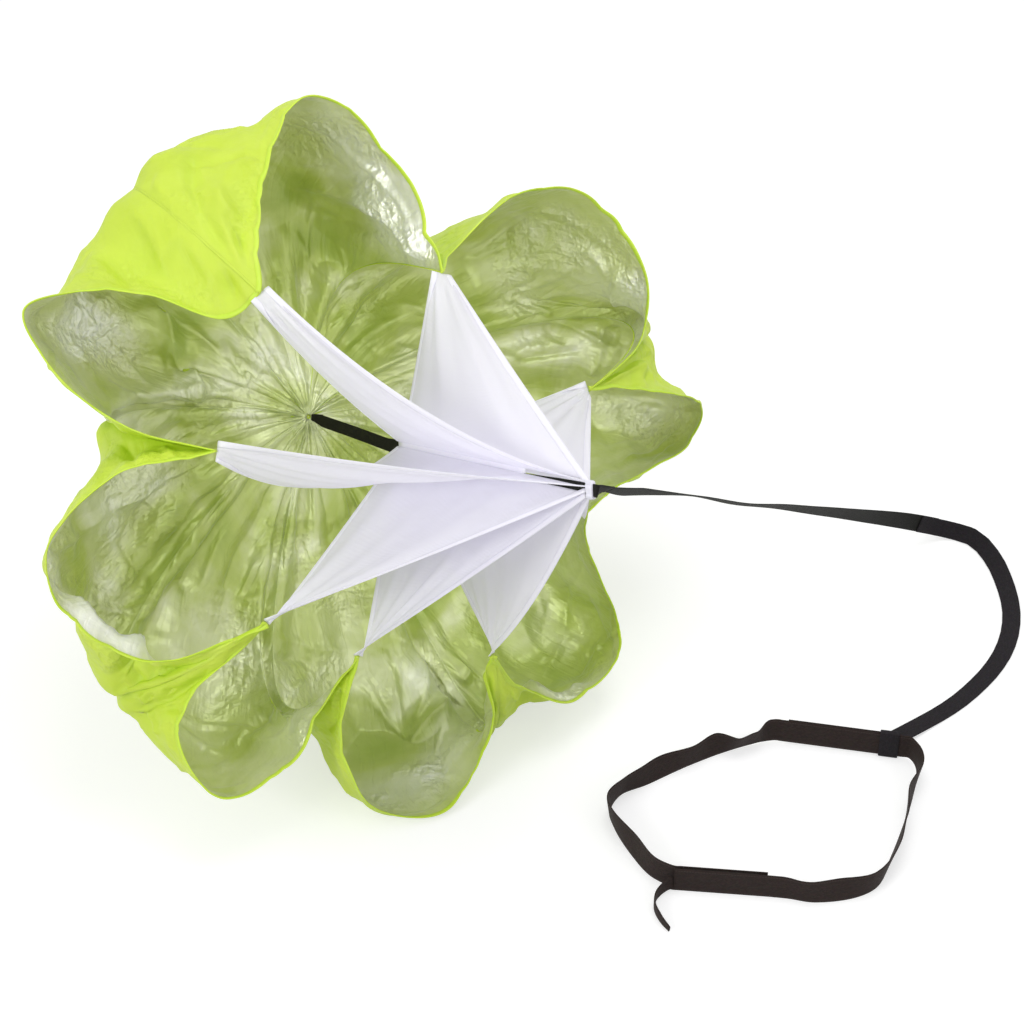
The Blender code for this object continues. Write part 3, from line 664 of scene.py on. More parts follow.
@dataclass(frozen=True)
class Webbing:
    """Polypropylene webbing, woven flat, matt with a low glint on each thread.

    The pick spacing is the real one for 25 mm webbing, about 1.6 mm. A thread
    shows for 1.6 picks along the webbing and 0.8 of a pick across it. The
    colour changes a little from thread to thread, as dyed yarn does.
    """

    name: str
    colour: str
    thread: str
    pick_mm: float = 1.6
    roughness: float = 0.7
    stitch: str = "#3A3634"
    stitch_offset_mm: float = 0.0
    stitch_pitch_mm: float = 3.4
    stitch_length_mm: float = 2.5
    stitch_half_mm: float = 0.45
    thread_picks: Span = (1.6, 0.8)
    groove_picks: float = 0.12
    fuzz_share: float = 0.45
    groove_depth: float = -0.8
    relief_mm: float = 0.5
    glint: float = 0.18

    def build(self) -> Material:
        """Build the material on the piece's UV map, in metres.

        Returns:
            The material.
        """
        material, tree, shader = new_material(self.name)
        coords = add_node(tree, "ShaderNodeUVMap", {"uv_map": "UVMap"}).outputs["UV"]
        scaled = add_node(tree, "ShaderNodeVectorMath",
                          {"operation": "SCALE", "Scale": 1.0 / (self.pick_mm * MM)}, {0: coords})
        length, width = self.thread_picks
        weave = add_node(tree, "ShaderNodeTexBrick",
                         {"Scale": 1.0, "Color1": srgb(self.colour), "Color2": srgb(self.thread),
                          "Mortar": srgb(self.colour), "Mortar Size": self.groove_picks,
                          "Mortar Smooth": 1.0, "Brick Width": length, "Row Height": width},
                         {"Vector": scaled.outputs[0]})
        fuzz = add_node(tree, "ShaderNodeTexNoise", {"Scale": 0.35, "Detail": 5.0, "Roughness": 0.7},
                        {"Vector": scaled.outputs[0]})
        tint = add_node(tree, "ShaderNodeMix",
                        {"data_type": "RGBA", "blend_type": "OVERLAY", 0: self.fuzz_share},
                        {6: weave.outputs["Color"], 7: fuzz.outputs["Color"]})
        height = add_node(tree, "ShaderNodeMath", {"operation": "MULTIPLY_ADD", 1: self.groove_depth},
                          {0: weave.outputs["Fac"], 2: fuzz.outputs["Fac"]})
        bump = add_node(tree, "ShaderNodeBump", {"Strength": 0.55, "Distance": self.relief_mm * MM},
                        {"Height": height.outputs[0]})
        colour = tint.outputs[2]
        if self.stitch_offset_mm:
            colour = self.stitched(tree, coords, colour)
        set_node(tree, shader, {"Roughness": self.roughness, "Specular IOR Level": self.glint},
                 {"Base Color": colour, "Normal": bump.outputs["Normal"]})
        return material

    def stitched(self, tree: NodeTree, coords: NodeSocket, colour: NodeSocket) -> NodeSocket:
        """Draw a row of stitches on each side of the webbing's middle.

        Args:
            tree: The material's node tree.
            coords: The UV map, in metres.
            colour: The webbing's colour.

        Returns:
            The colour with the stitches.
        """
        parts = add_node(tree, "ShaderNodeSeparateXYZ", {}, {"Vector": coords})
        side = add_node(tree, "ShaderNodeMath", {"operation": "ABSOLUTE"}, {0: parts.outputs["Y"]})
        row = add_node(tree, "ShaderNodeMath",
                       {"operation": "COMPARE", 1: self.stitch_offset_mm * MM,
                        2: self.stitch_half_mm * MM}, {0: side.outputs[0]})
        step = add_node(tree, "ShaderNodeMath",
                        {"operation": "WRAP", 1: self.stitch_pitch_mm * MM, 2: 0.0},
                        {0: parts.outputs["X"]})
        dash = add_node(tree, "ShaderNodeMath",
                        {"operation": "LESS_THAN", 1: self.stitch_length_mm * MM},
                        {0: step.outputs[0]})
        mask = add_node(tree, "ShaderNodeMath", {"operation": "MULTIPLY"},
                        {0: row.outputs[0], 1: dash.outputs[0]})
        mix = add_node(tree, "ShaderNodeMix", {"data_type": "RGBA", 7: srgb(self.stitch)},
                       {0: mask.outputs[0], 6: colour})
        return mix.outputs[2]


@dataclass(frozen=True)
class HookPile:
    """Nylon hook-and-loop tape: a dense pile that takes the light softly."""

    name: str
    colour: str
    loop_mm: float = 1.2
    relief_mm: float = 0.6
    roughness: float = 0.9

    def build(self) -> Material:
        """Build the material on Object coordinates.

        Returns:
            The material.
        """
        material, tree, shader = new_material(self.name)
        coords = add_node(tree, "ShaderNodeTexCoord").outputs["Object"]
        pile = add_node(tree, "ShaderNodeTexVoronoi", {"Scale": 1.0 / (self.loop_mm * MM)},
                        {"Vector": coords})
        bump = add_node(tree, "ShaderNodeBump", {"Strength": 0.8, "Distance": self.relief_mm * MM},
                        {"Height": pile.outputs["Distance"]})
        set_node(tree, shader, {"Base Color": srgb(self.colour), "Roughness": self.roughness},
                 {"Normal": bump.outputs["Normal"]})
        return material


class Finishes:
    """The materials, each built once."""

    def __init__(self) -> None:
        """Build every finish."""
        self.outside = CrumpledCloth(
            "lime_coated_taffeta", ("#C1DC3C", "#C5E042", "#CBE64C", "#CEE956"), roughness=0.56,
            metallic=0.0, coat=0.0, glow=0.50, silver_and_painted_light=0.0, crease_mm=22.0, relief_mm=2.6).build()
        self.inside = CrumpledCloth(
            "silvered_olive_coating", ("#A4B758", "#B9C872", "#D6DEAC", "#F6F8E6"), roughness=0.42,
            metallic=0.22, coat=0.28, glow=0.50, silver_and_painted_light=0.30, crease_mm=20.0, relief_mm=2.3,
            sheen=0.45, draw_relief_mm=2.4).build()
        self.hem = CrumpledCloth(
            "lime_taffeta_hem", ("#C4E23E", "#C4E23E", "#CBE64C", "#CBE64C"), roughness=0.50,
            metallic=0.0, coat=0.0, glow=0.45, silver_and_painted_light=0.0, crease_mm=30.0, relief_mm=0.8).build()
        # The mesh finishes carry a small painted glow, an emission that lifts them in shade; for the
        # binding tape it is the last number
        self.mesh = SheerMesh("white_knitted_mesh", "#F4F2FD", 0.80).build()
        self.mesh_hem = SheerMesh("white_mesh_hem", "#F1EFFC", 1.0, painted_glow=0.05).build()
        self.black = Webbing("black_polypropylene_webbing", "#0E0E0B", "#161612").build()
        self.plum = Webbing("plum_black_polypropylene_webbing", "#1C191C", "#272327").build()
        self.brown = Webbing("brown_black_belt_webbing", "#271E1B", "#332825", pick_mm=1.9,
                             stitch_offset_mm=16.0, stitch="#443A36").build()
        self.pile = HookPile("nylon_hook_and_loop_pile", "#26211E").build()
        self.tape = SheerMesh("white_binding_tape", "#E9E8F4", 1.0, 3.93, 0.05).build()


# Canopy


# Creases of each gore, read off the photograph: share across and share along of
# both ends, height outwards and width in millimetres
PACKED_CREASES = (
    (
        (0.01, 0.95, 0.42, 0.64, -24, 30), (0.46, 0.9, 0.39, 1, -2.5, 5),
        (0.46, 0.85, 0.34, 0.9, -3, 5), (0.35, 0.92, 0.28, 0.98, -3, 5),
        (0.38, 0.9, 0.31, 1, 2.5, 4), (0.33, 0.9, 0.05, 0.96, -6.8, 6),
        (0.18, 0.86, 0.09, 0.82, 3, 4), (0.43, 0.72, 0.35, 0.81, -2.5, 4),
        (0.34, 0.76, 0.2, 0.83, 2.5, 6), (0.3, 0.93, 0.2, 0.92, -2.5, 5),
        (0.38, 0.57, 0, 0.78, 2, 6), (0.44, 0.48, 0.03, 0.41, -2, 7),
        (0.98, 0.16, 0.81, 0.19, -3, 4), (0.84, 0.1, 0.49, 0.11, 3, 5),
        (0.92, 0.22, 0.93, 0.14, 3, 5), (0.93, 0.14, 0.71, 0.05, 3, 6), (1, 0.99, 0.78, 1, -6.8, 9),
        (0.72, 1, 0.65, 1, -6.8, 9), (1, 0.98, 0.78, 0.93, 6.8, 9), (1, 0.95, 0.84, 0.83, -6.8, 8.2),
        (1, 0.85, 0.97, 0.78, 6.8, 9), (1, 0.9, 0.99, 0.85, -5.1, 6.8),
        (0.87, 0.84, 0.69, 0.98, -4.2, 6.8), (0.87, 0.89, 0.9, 0.98, 4.2, 6.8),
        (0.57, 1, 0.61, 1, -4.2, 6), (0.74, 1, 0.79, 1, -4.2, 6),
    ),
    (
        (0.81, 0.28, 0.21, 0.38, -18, 26), (0.42, 0.61, 0.68, 0.47, -4, 6),
        (0.55, 0.84, 0.62, 0.95, -3, 5), (0.54, 0.67, 0.65, 0.7, -3, 6),
        (0.65, 0.64, 0.82, 0.49, 2.5, 5), (0.54, 0.51, 0.51, 0.35, 2, 5),
        (0.41, 0.36, 0.68, 0.37, -2.5, 4), (0.72, 0.59, 0.85, 0.42, -3, 6),
        (0.5, 0.15, 0.51, 0.28, -3, 4), (0.5, 0.15, 0.12, 0.22, 3, 4),
        (0.5, 0.15, 0.3, 0.15, -3, 4), (0.15, 0.15, 0.02, 0.16, -3, 4),
        (0.5, 0.15, 0.35, 0.12, 3, 5), (0.2, 0.12, 0.05, 0.1, 3, 5),
        (0.64, 0.16, 0.81, 0.23, -3, 5), (0.89, 0.05, 0.8, 0.04, -3, 6),
        (0.11, 0.27, 0.41, 0.18, -3, 6), (0.34, 0.31, 0.82, 0.25, 2.5, 7),
        (0.02, 0.99, 0, 0.98, 6.8, 9), (0.04, 0.98, 0.01, 0.95, -6.8, 8.2),
        (0.05, 0.97, 0, 0.85, 6.8, 9), (0.04, 1, 0, 0.9, -5.1, 6.8), (0.03, 0.74, 0.08, 0.91, 5.1, 9),
        (0.19, 0.82, 0.26, 0.98, -5.1, 7.5), (0.03, 0.93, 0.06, 0.98, -3, 6),
        (0.01, 0.88, 0.1, 0.9, 4.2, 6.8),
    ),
    (
        (0.02, 0.36, 0.17, 0.28, -3, 6),
        (0.37, 0.2, 0.34, 0.12, -3, 6), (0.2, 0.11, 0.06, 0.06, -3, 6),
        (0.55, 0.24, 0.47, 0.56, -10, 16), (0.47, 0.56, 0.45, 0.8, -12, 18), (0.72, 0.94, 1, 0.93, -30, 22),
        (0.45, 0.8, 0.47, 0.96, -8, 10.5), (0.62, 0.5, 0.97, 0.4, 3.4, 6),
        (0.67, 0.65, 1, 0.47, -4.2, 6), (0.52, 0.94, 0.8, 0.94, -26, 22),
        (0.66, 0.95, 0.93, 0.85, -5.1, 6.8), (0.74, 0.94, 0.94, 0.82, 5.1, 6.8),
        (0.78, 0.97, 0.99, 0.85, -5.1, 6), (0.06, 0.83, 0.17, 1, -5.1, 6), (0.03, 0.92, 0.1, 1, 5.1, 6),
    ),
    (
        (0.04, 0.19, 0.08, 0.29, 4, 6), (0.08, 0.29, 0.22, 0.37, -4, 6),
        (0.34, 0.27, 0.39, 0.39, -3, 6), (0.51, 0.28, 0.52, 0.41, 3, 5),
        (0.68, 0.33, 0.61, 0.42, -3, 5), (0.41, 0.39, 0.73, 0.44, -3, 4),
        (0.38, 0.42, 0.64, 0.45, 3, 5), (0.02, 0.35, 0.11, 0.35, -2.5, 6),
        (0.23, 0.37, 0.34, 0.4, -2.5, 6), (0.02, 0.46, 0.08, 0.44, -4.2, 6),
        (0.2, 0.5, 0.4, 0.52, 2, 6), (0.45, 0.6, 0.6, 0.56, -2, 6),
        (0.55, 0.88, 0.66, 0.78, -3.5, 5), (0.55, 0.86, 0.72, 0.78, 3, 5),
        (0.44, 0.72, 0.65, 0.78, -3, 5), (0.43, 0.66, 0.58, 0.6, -2.5, 5),
        (0.65, 0.78, 0.8, 0.77, 3, 6), (0.46, 0.75, 0.57, 0.82, -3, 5),
        (0.44, 0.92, 0.54, 0.78, 3, 5), (0.77, 0.83, 0.83, 0.81, -3, 5),
        (0.62, 0.54, 0.77, 0.59, 5.1, 6.8), (0.98, 0.5, 1, 0.51, 5.1, 6.8),
        (0.52, 0.66, 0.62, 0.56, -2.5, 6), (0.65, 0.69, 0.76, 0.62, 2.5, 7),
        (0.67, 0.87, 0.85, 0.86, -2.5, 6), (0.48, 0.95, 0.6, 0.96, -3, 5),
        (0.02, 0.81, 0.05, 0.83, -5.1, 6.8), (0.02, 0.79, 0.09, 0.82, 5.1, 6.8),
        (0.22, 0.88, 0.33, 0.94, 5.1, 6.8), (0.03, 0.85, 0.08, 0.88, -5.1, 6),
        (0.22, 0.94, 0.3, 1, -5.1, 6),
    ),
    (
        (0.1, 0.66, 0.29, 0.6, -3, 5), (0.03, 0.5, 0.35, 0.52, 5.1, 6.8),
        (0.17, 0.7, 0.22, 0.69, -2.5, 6), (0.05, 0.45, 0.51, 0.47, -3, 6),
        (0.53, 0.55, 0.62, 0.75, -15, 18), (0.62, 0.75, 0.82, 0.66, -15, 18),
        (0.96, 0.57, 1, 0.56, -15, 18), (0.54, 0.72, 0.57, 0.79, -3.5, 4),
        (0.73, 0.78, 0.63, 0.86, -3.5, 4), (0.62, 0.75, 0.72, 0.79, 3, 4),
        (0.51, 0.81, 0.59, 0.9, -3, 5), (0.45, 0.74, 0.51, 0.72, -3, 5),
        (0.57, 0.54, 0.59, 0.64, -3, 5), (0.68, 0.57, 0.62, 0.71, 3, 5),
        (0.81, 0.57, 0.67, 0.72, -3, 6), (0.8, 0.64, 0.71, 0.85, -2.5, 5),
        (0.75, 0.5, 0.83, 0.49, -3, 6), (0.95, 0.45, 0.99, 0.46, -3, 6),
        (0.67, 0.52, 0.65, 0.62, 3, 6), (0.51, 0.63, 0.5, 0.77, 2.5, 7),
        (0.56, 0.89, 0.66, 0.93, -3, 5), (0.04, 0.95, 0.18, 0.96, -5.1, 6),
    ),
    (
        (0.02, 0.55, 0.15, 0.59, -15, 18), (0, 0.46, 0.01, 0.47, -3, 6),
        (0.7, 0.78, 0.52, 0.75, 2.5, 7), (0.59, 0.64, 0.52, 0.67, -2.5, 5),
        (0.38, 0.79, 0.48, 0.76, -3, 5), (0.52, 0.77, 0.52, 0.85, -3, 4),
        (0.52, 0.85, 0.6, 1, -3, 4), (0.52, 0.85, 0.44, 0.87, 3, 4), (0.57, 0.9, 0.5, 0.89, -3, 4),
        (0.18, 0.95, 0.42, 0.95, -16, 18), (0.5, 0.9, 0.56, 0.99, -2, 6),
        (0.45, 0.63, 0.42, 0.76, -2.5, 7), (0.66, 0.85, 0.56, 0.91, 2.5, 7),
        (0.11, 1, 0.17, 0.95, 5.1, 6), (0.24, 1, 0.27, 1, -3, 7),
    ),
    (
        (1, 0.51, 0.81, 0.62, -4, 6), (0.98, 0.48, 0.82, 0.52, 3.5, 5),
        (0.99, 0.43, 0.81, 0.45, -3.5, 5), (1, 0.45, 0.79, 0.48, -2.5, 4),
        (1, 0.67, 0.79, 0.62, -10, 14), (0.79, 0.62, 0.65, 0.62, -9, 10.5),
        (0.75, 0.44, 0.79, 0.56, 6.8, 6), (0.94, 0.68, 0.69, 0.65, -3.5, 5),
        (0.95, 0.67, 0.8, 0.65, 3, 5), (0.48, 0.63, 0.55, 0.8, -2.5, 7),
        (0.28, 0.84, 0.47, 0.91, -3, 6), (0.35, 0.72, 0.48, 0.79, 2.5, 6),
        (0.38, 0.9, 0.52, 0.94, 2.5, 5), (0.54, 0.74, 0.61, 1, -3, 5),
        (0.98, 0.98, 0.79, 0.92, 5.1, 6), (1, 0.95, 0.87, 0.87, -5.1, 6),
    ),
    (
        (0.99, 0.25, 0.87, 0.42, -3, 6), (0.59, 0.19, 0.65, 0.35, 2.5, 5),
        (0.23, 0.25, 0.03, 0.25, -3, 4), (0.12, 0.2, 0.13, 0.27, 2.5, 4),
        (0.48, 0.37, 0.32, 0.39, -2.5, 5), (0.62, 0.11, 0.43, 0.32, -3.4, 6),
        (0.31, 0.58, 0.36, 0.8, -3, 5), (0.31, 0.58, 0.02, 0.5, -4, 6),
        (0.31, 0.58, 0, 0.48, 3.5, 5), (0.31, 0.58, 0.03, 0.42, -3.5, 5),
        (0.31, 0.58, 0.4, 0.78, 3, 4), (0.31, 0.58, 0.08, 0.57, 3, 5),
        (0.31, 0.58, 0.02, 0.44, -2.5, 4), (0.55, 0.87, 0.45, 0.92, -3, 6),
        (0.45, 0.92, 0.39, 0.94, -3, 6), (0.34, 0.93, 0.2, 0.77, -14, 16),
        (0.4, 0.88, 0.33, 0.89, -3.5, 5), (0.43, 0.65, 0.36, 0.81, -2.5, 5),
        (0.49, 0.99, 0.35, 0.97, -2.5, 7), (0.27, 0.92, 0.22, 0.85, 3, 5),
        (0.04, 0.7, 0, 0.72, 3, 5), (0.51, 0.66, 0.55, 0.86, 4.2, 6),
        (0.49, 0.6, 0.49, 0.76, -4.2, 6),
    ),
)


# Painted light (above 0) and painted shade (below 0) in the coating's colour of
# each gore: share across, share along, radius across, radius along and strength
PAINTED_LIGHT_SPOTS = (
    ((0.22, 0.90, 0.22, 0.14, 1.5), (0.32, 0.52, 0.22, 0.18, -0.7)),
    ((0.49, 0.60, 0.20, 0.16, 1.5), (0.82, 0.38, 0.12, 0.10, 0.6), (0.35, 0.28, 0.20, 0.10, -0.5)),
    ((0.78, 0.95, 0.30, 0.07, 1.8), (0.50, 0.48, 0.20, 0.15, 0.3)),
    ((0.42, 0.50, 0.20, 0.12, 0.7), (0.60, 0.90, 0.20, 0.10, 0.6)),
    ((0.55, 0.88, 0.25, 0.08, 0.9), (0.79, 0.56, 0.15, 0.15, 0.4), (0.62, 0.73, 0.10, 0.06, -0.4)),
    ((0.55, 0.62, 0.45, 0.32, -0.55), (0.36, 0.95, 0.12, 0.04, 1.2)),
    ((0.82, 0.44, 0.16, 0.12, 1.1), (0.46, 0.82, 0.20, 0.12, 0.7)),
    ((0.24, 0.86, 0.14, 0.16, 1.2), (0.40, 0.50, 0.15, 0.10, -0.3)),
)


@dataclass
class Canopy:
    """The eight gores, worked out from the sizes of the CAD source."""

    centre: Point = (-0.1133, -0.0354, 0.430)
    elevation_deg: float = 30.4
    turn_deg: float = 30.7
    gores: int = 8
    ring_radius: float = 0.250
    lobe_reach: float = 0.460
    tip_setback: float = 0.090
    crown_setback: float = 0.250
    crown_offset: float = 0.060
    crown_hole: float = 0.003
    crown_spread: float = 0.200
    crown_dip: float = 0.050
    crown_first: float = 19.0
    valley_spread: float = 0.450
    valley_setback: float = 0.270
    lobe_spread: float = 0.080
    lobe_backset: float = 0.220
    lobe_fullness: float = 0.7
    crease_depth: float = 0.007
    creases: int = 3
    crease_end: float = 0.8
    thickness: float = 0.0008
    rows: int = 170
    columns: int = 150
    pleats: int = 6
    pleat_height: float = 0.0017
    fan_height: float = 0.003
    fan_folds: float = 11.0
    fan_fade: float = 0.075
    fan_start: Span = (0.006, 0.045)
    fold_lines_left: int = 26
    fold_half_lengths: Span = (0.030, 0.095)
    fold_heights_mm: Span = (0.9, 2.4)
    fold_widths: Span = (0.0035, 0.008)
    facet_waves: int = 4
    facet_lengths: Span = (0.06, 0.13)
    facet_height_mm: float = 1.7
    facet_swing_mm: float = 0.9
    sharp_from_mm: float = 7.0
    slack_waves: int = 4
    slack_height: float = 0.0012
    edge_spans: int = 10
    edge_pull_mm: Span = (-8.0, -3.0)
    edge_bow: float = 0.06
    edge_reach: float = 0.66
    seam_margin: float = 0.05
    crown_margin: float = 0.02
    rim_margin: float = 0.03
    ground: float = 0.0006
    hem_ground: float = 0.0002
    hem_inset: float = 0.0028
    hem_half: float = 0.0036
    hem_rise: float = 0.0012
    bead_half: float = 0.0018
    bead_rise: float = 0.0007
    patch_radii_mm: tuple = (
        0.3, 4.2, 8.0, 14.0, 17.5, 18.5, 19.5, 21.4, 22.0, 22.0, 21.4, 12.0, 0.3)
    patch_lifts_mm: tuple = (1.0, 2.0, 2.1, 2.1, 2.1, 1.8, 2.1, 2.1, 1.8, 1.2, 0.9, 0.9, 0.9)
    pinch_bearings: tuple = (22.0, 64.0, 117.5, 149.0, 192.0, 241.0, 274.0, 330.0)
    pinch_radii: tuple = (1.13, 0.94, 0.96, 0.89, 1.03, 1.04, 1.10, 1.00)
    valley_shares: tuple = (0.82, 0.36, 0.85, 0.55, 0.85, 0.30, 0.92, 0.06)
    lobe_shares: tuple = (-0.60, -1.20, -0.90, -0.30, 0.20, 0.80, 1.00, -1.00)
    seam_reach: tuple = (0.58, 0.30, 0.52, 0.30, 0.33, 0.30, 0.42, 0.30)
    rim_shares: tuple = (
        ((334, 0.31, 0.45), (339, 0.59, 0.80), (347.5, 0.90, 1.0), (354, 1.00, 1.0),
         (2, 0.76, 0.80), (11, 0.45, 0.45)),
        ((31, 0.21, 0.45), (36, 0.53, 0.80), (44, 0.94, 1.0), (48.5, 1.08, 1.0),
         (56, 0.79, 0.80), (62, 0.38, 0.45)),
        ((71, 0.42, 0.40), (82, 0.80, 0.70), (88, 0.84, 0.90), (94, 0.82, 1.0),
         (104, 0.67, 0.90), (111.5, 0.46, 0.70), (115.5, 0.16, 0.40)),
        ((120, 0.18, 0.45), (120.5, 0.48, 0.80), (126, 0.78, 1.0), (136, 0.89, 1.0),
         (145, 0.61, 0.80), (147, 0.15, 0.45)),
        ((151.5, 0.14, 0.40), (154.5, 0.39, 0.70), (161.5, 0.76, 0.90), (169, 0.90, 1.0),
         (177, 0.90, 0.90), (189, 0.52, 0.70), (190, 0.20, 0.40)),
        ((196, 0.32, 0.45), (204.5, 0.74, 0.80), (216.5, 0.87, 1.0), (221, 0.79, 1.0),
         (227.5, 0.45, 0.80), (235, 0.18, 0.45)),
        ((247.5, 0.31, 0.45), (251.5, 0.63, 0.80), (255.5, 0.96, 1.0), (260, 1.06, 1.0),
         (263, 0.97, 0.80), (268, 0.60, 0.45)),
        ((277, 0.61, 0.40), (283, 0.85, 0.70), (295, 1.00, 0.90), (304, 0.93, 1.0),
         (312, 0.72, 0.90), (318, 0.46, 0.70), (325.5, 0.13, 0.40)),
    )

    def basis(self) -> Array:
        """Work out the canopy's frame from its axis.

        Returns:
            The canopy's up, left and axis directions as rows.
        """
        rise = math.radians(self.elevation_deg)
        turn = math.radians(self.turn_deg)
        axis = np.array((math.cos(rise) * math.sin(turn), -math.cos(rise) * math.cos(turn),
                         math.sin(rise)))
        up = unit(UP - axis * axis[2])
        return np.stack((up, np.cross(axis, up), axis))

    def to_world(self, points: Array) -> Array:
        """Move canopy points to the world."""
        return points @ self.basis() + np.array(self.centre)

    def to_canopy(self, points: Array) -> Array:
        """Move world points to the canopy's frame."""
        return (points - np.array(self.centre)) @ self.basis().T

    @staticmethod
    def bearing(degrees: Array | float) -> Array:
        """Return the unit vectors at bearings round the axis."""
        angle = np.radians(degrees)
        return np.stack((np.cos(angle), np.sin(angle), np.zeros_like(angle)), axis=-1)

    def crown(self) -> Array:
        """Return the crown's point in the canopy's frame."""
        return np.array((self.crown_offset, 0.0, -self.crown_setback))

    def pinch(self, index: int) -> Array:
        """Return a pinch of the free edge in the canopy's frame."""
        radius = self.ring_radius * self.pinch_radii[index]
        return self.bearing(self.pinch_bearings[index]) * radius

    def rim(self, gore: int, count: int) -> Array:
        """Return a gore's free edge from one pinch to the next.

        Args:
            gore: The gore's number from 0.
            count: How many points to return.

        Returns:
            The points, in the canopy's frame.
        """
        table = np.array(self.rim_shares[gore])
        reach = self.ring_radius + (self.lobe_reach - self.ring_radius) * table[:, 1]
        points = self.bearing(table[:, 0]) * reach[:, None]
        points[:, 2] = -self.tip_setback * table[:, 2]
        ends = (self.pinch(gore - 1), points, self.pinch(gore))
        return smooth_path(np.vstack(ends), count)

    def spread(self, gore: int, shares: Array) -> Array:
        """Return how far each column swells beyond the free edge.

        Args:
            gore: The gore's number from 0.
            shares: Each column's share of the way from one seam to the next.

        Returns:
            One distance for each column, in metres.
        """
        lobe = self.lobe_spread * self.lobe_shares[gore]
        low = self.valley_spread * self.valley_shares[gore - 1] - lobe
        high = self.valley_spread * self.valley_shares[gore] - lobe
        low_fade = 1.0 - smoothstep(0.0, self.seam_reach[gore - 1], shares)
        high_fade = 1.0 - smoothstep(0.0, self.seam_reach[gore], 1.0 - shares)
        return lobe + low * low_fade + high * high_fade

    def surface(self, gore: int, rows: int, columns: int) -> Array:
        """Return a gore's smooth grid in the canopy's frame.

        Each column is a cubic Bezier curve, (1-t)^3 A + 3(1-t)^2 t B +
        3(1-t) t^2 C + t^3 D, from the crown A to the free edge D. B lies out
        from the crown and a little behind it, and C behind the free edge.

        Args:
            gore: The gore's number from 0.
            rows: Points from the crown to the free edge.
            columns: Points from one seam to the next.

        Returns:
            The points, row by row.
        """
        shares = np.linspace(0.0, 1.0, columns)
        rim = self.rim(gore, columns)
        lobe = np.sin(math.pi * shares)[:, None] ** self.lobe_fullness
        spread = self.spread(gore, shares)[:, None]
        setback = self.valley_setback + (self.lobe_backset - self.valley_setback) * lobe
        outward = unit(rim * np.array((1.0, 1.0, 0.0)))
        width = 360.0 / self.gores
        at_crown = self.bearing(self.crown_first + width * (gore - 1 + shares))
        start = self.crown() + at_crown * self.crown_hole
        leave = start + at_crown * self.crown_spread - UP * self.crown_dip
        arrive = rim + outward * spread - UP * setback
        along = np.linspace(0.0, 1.0, rows)[:, None, None]
        rest = 1.0 - along
        grid = (rest ** 3 * start + 3 * rest ** 2 * along * leave
                + 3 * rest * along ** 2 * arrive + along ** 3 * rim)
        fade = np.sin(math.pi * np.minimum(along / self.crease_end, 1.0)) ** 2
        wave = np.sin(math.tau * self.creases * shares)[None, :, None]
        return grid + UP * (self.crease_depth * fade * wave)

    def shares(self) -> tuple[Array, Array]:
        """Return the shares across a gore, in a row, and along it, in a column."""
        return np.linspace(0.0, 1.0, self.columns)[None, :], np.linspace(0.0, 1.0, self.rows)[:, None]

    def crown_gathers(self, shares: Array, along: Array) -> Array:
        """Return radial pleats that fan out from the crown's stitches.

        The height is a sharpened cosine across the gore, about six uneven
        pleats wide, and it fades with distance from the crown.

        Args:
            shares: Shares across the gore.
            along: Shares from the crown to the free edge.

        Returns:
            The height of each point.
        """
        pleat = (0.5 + 0.5 * np.cos(math.tau * self.pleats * shares ** 1.15)) ** 3
        slow = 0.6 + 0.4 * np.cos(math.tau * 2 * shares + 1.0)
        return self.pleat_height * pleat * slow * np.exp(-((along - 0.12) / 0.17) ** 2)

    def pinch_fans(self, uv: Array, corner: int, phase: int) -> Array:
        """Return creases that fan out from a pinch over the gore.

        The height follows the cube of a cosine of the angle round the pinch,
        rises from 6 to 45 mm away and fades over 75 mm.

        Args:
            uv: Flat coordinates of the gore's points.
            corner: Column of the pinch, 0 or -1.
            phase: Turn of the fan.

        Returns:
            The height of each point.
        """
        delta = uv - uv[-1, corner]
        reach = np.hypot(delta[..., 0], delta[..., 1])
        angle = np.arctan2(delta[..., 0], -delta[..., 1])
        fan = (0.5 + 0.5 * np.cos(angle * self.fan_folds + phase)) ** 3
        fade = np.exp(-reach / self.fan_fade) * smoothstep(*self.fan_start, reach)
        return self.fan_height * fan * fade

    def fold_lines(self, uv: Array, seed: int) -> Array:
        """Return straight creases left by packing, at random but repeatable.

        Each is a ridge exp(-(d/w)^2) about a line, 60 to 190 mm long, that
        fades towards both of its ends.

        Args:
            uv: Flat coordinates of the gore's points.
            seed: The gore's seed.

        Returns:
            The height of each point.
        """
        rng = np.random.default_rng(seed)
        low = uv.reshape(-1, 2).min(axis=0)
        high = uv.reshape(-1, 2).max(axis=0)
        total = np.zeros(uv.shape[:2])
        for _ in range(self.fold_lines_left):
            start = low + (high - low) * rng.random(2)
            turn = rng.normal(0.0, 0.55) + (0.0 if rng.random() < 0.7 else math.pi / 2)
            way = np.array((math.sin(turn), math.cos(turn)))
            half = rng.uniform(*self.fold_half_lengths)
            delta = uv - start
            place = delta @ way
            bend = 0.06 * rng.normal() * place ** 2 / half
            aside = delta @ np.array((way[1], -way[0])) + bend
            size = rng.uniform(*self.fold_heights_mm) * MM * rng.choice((-1.0, 1.0), p=(0.35, 0.65))
            ridge = np.exp(-(aside / rng.uniform(*self.fold_widths)) ** 2)
            total += size * ridge * (1.0 - smoothstep(0.35 * half, half, np.abs(place)))
        return total

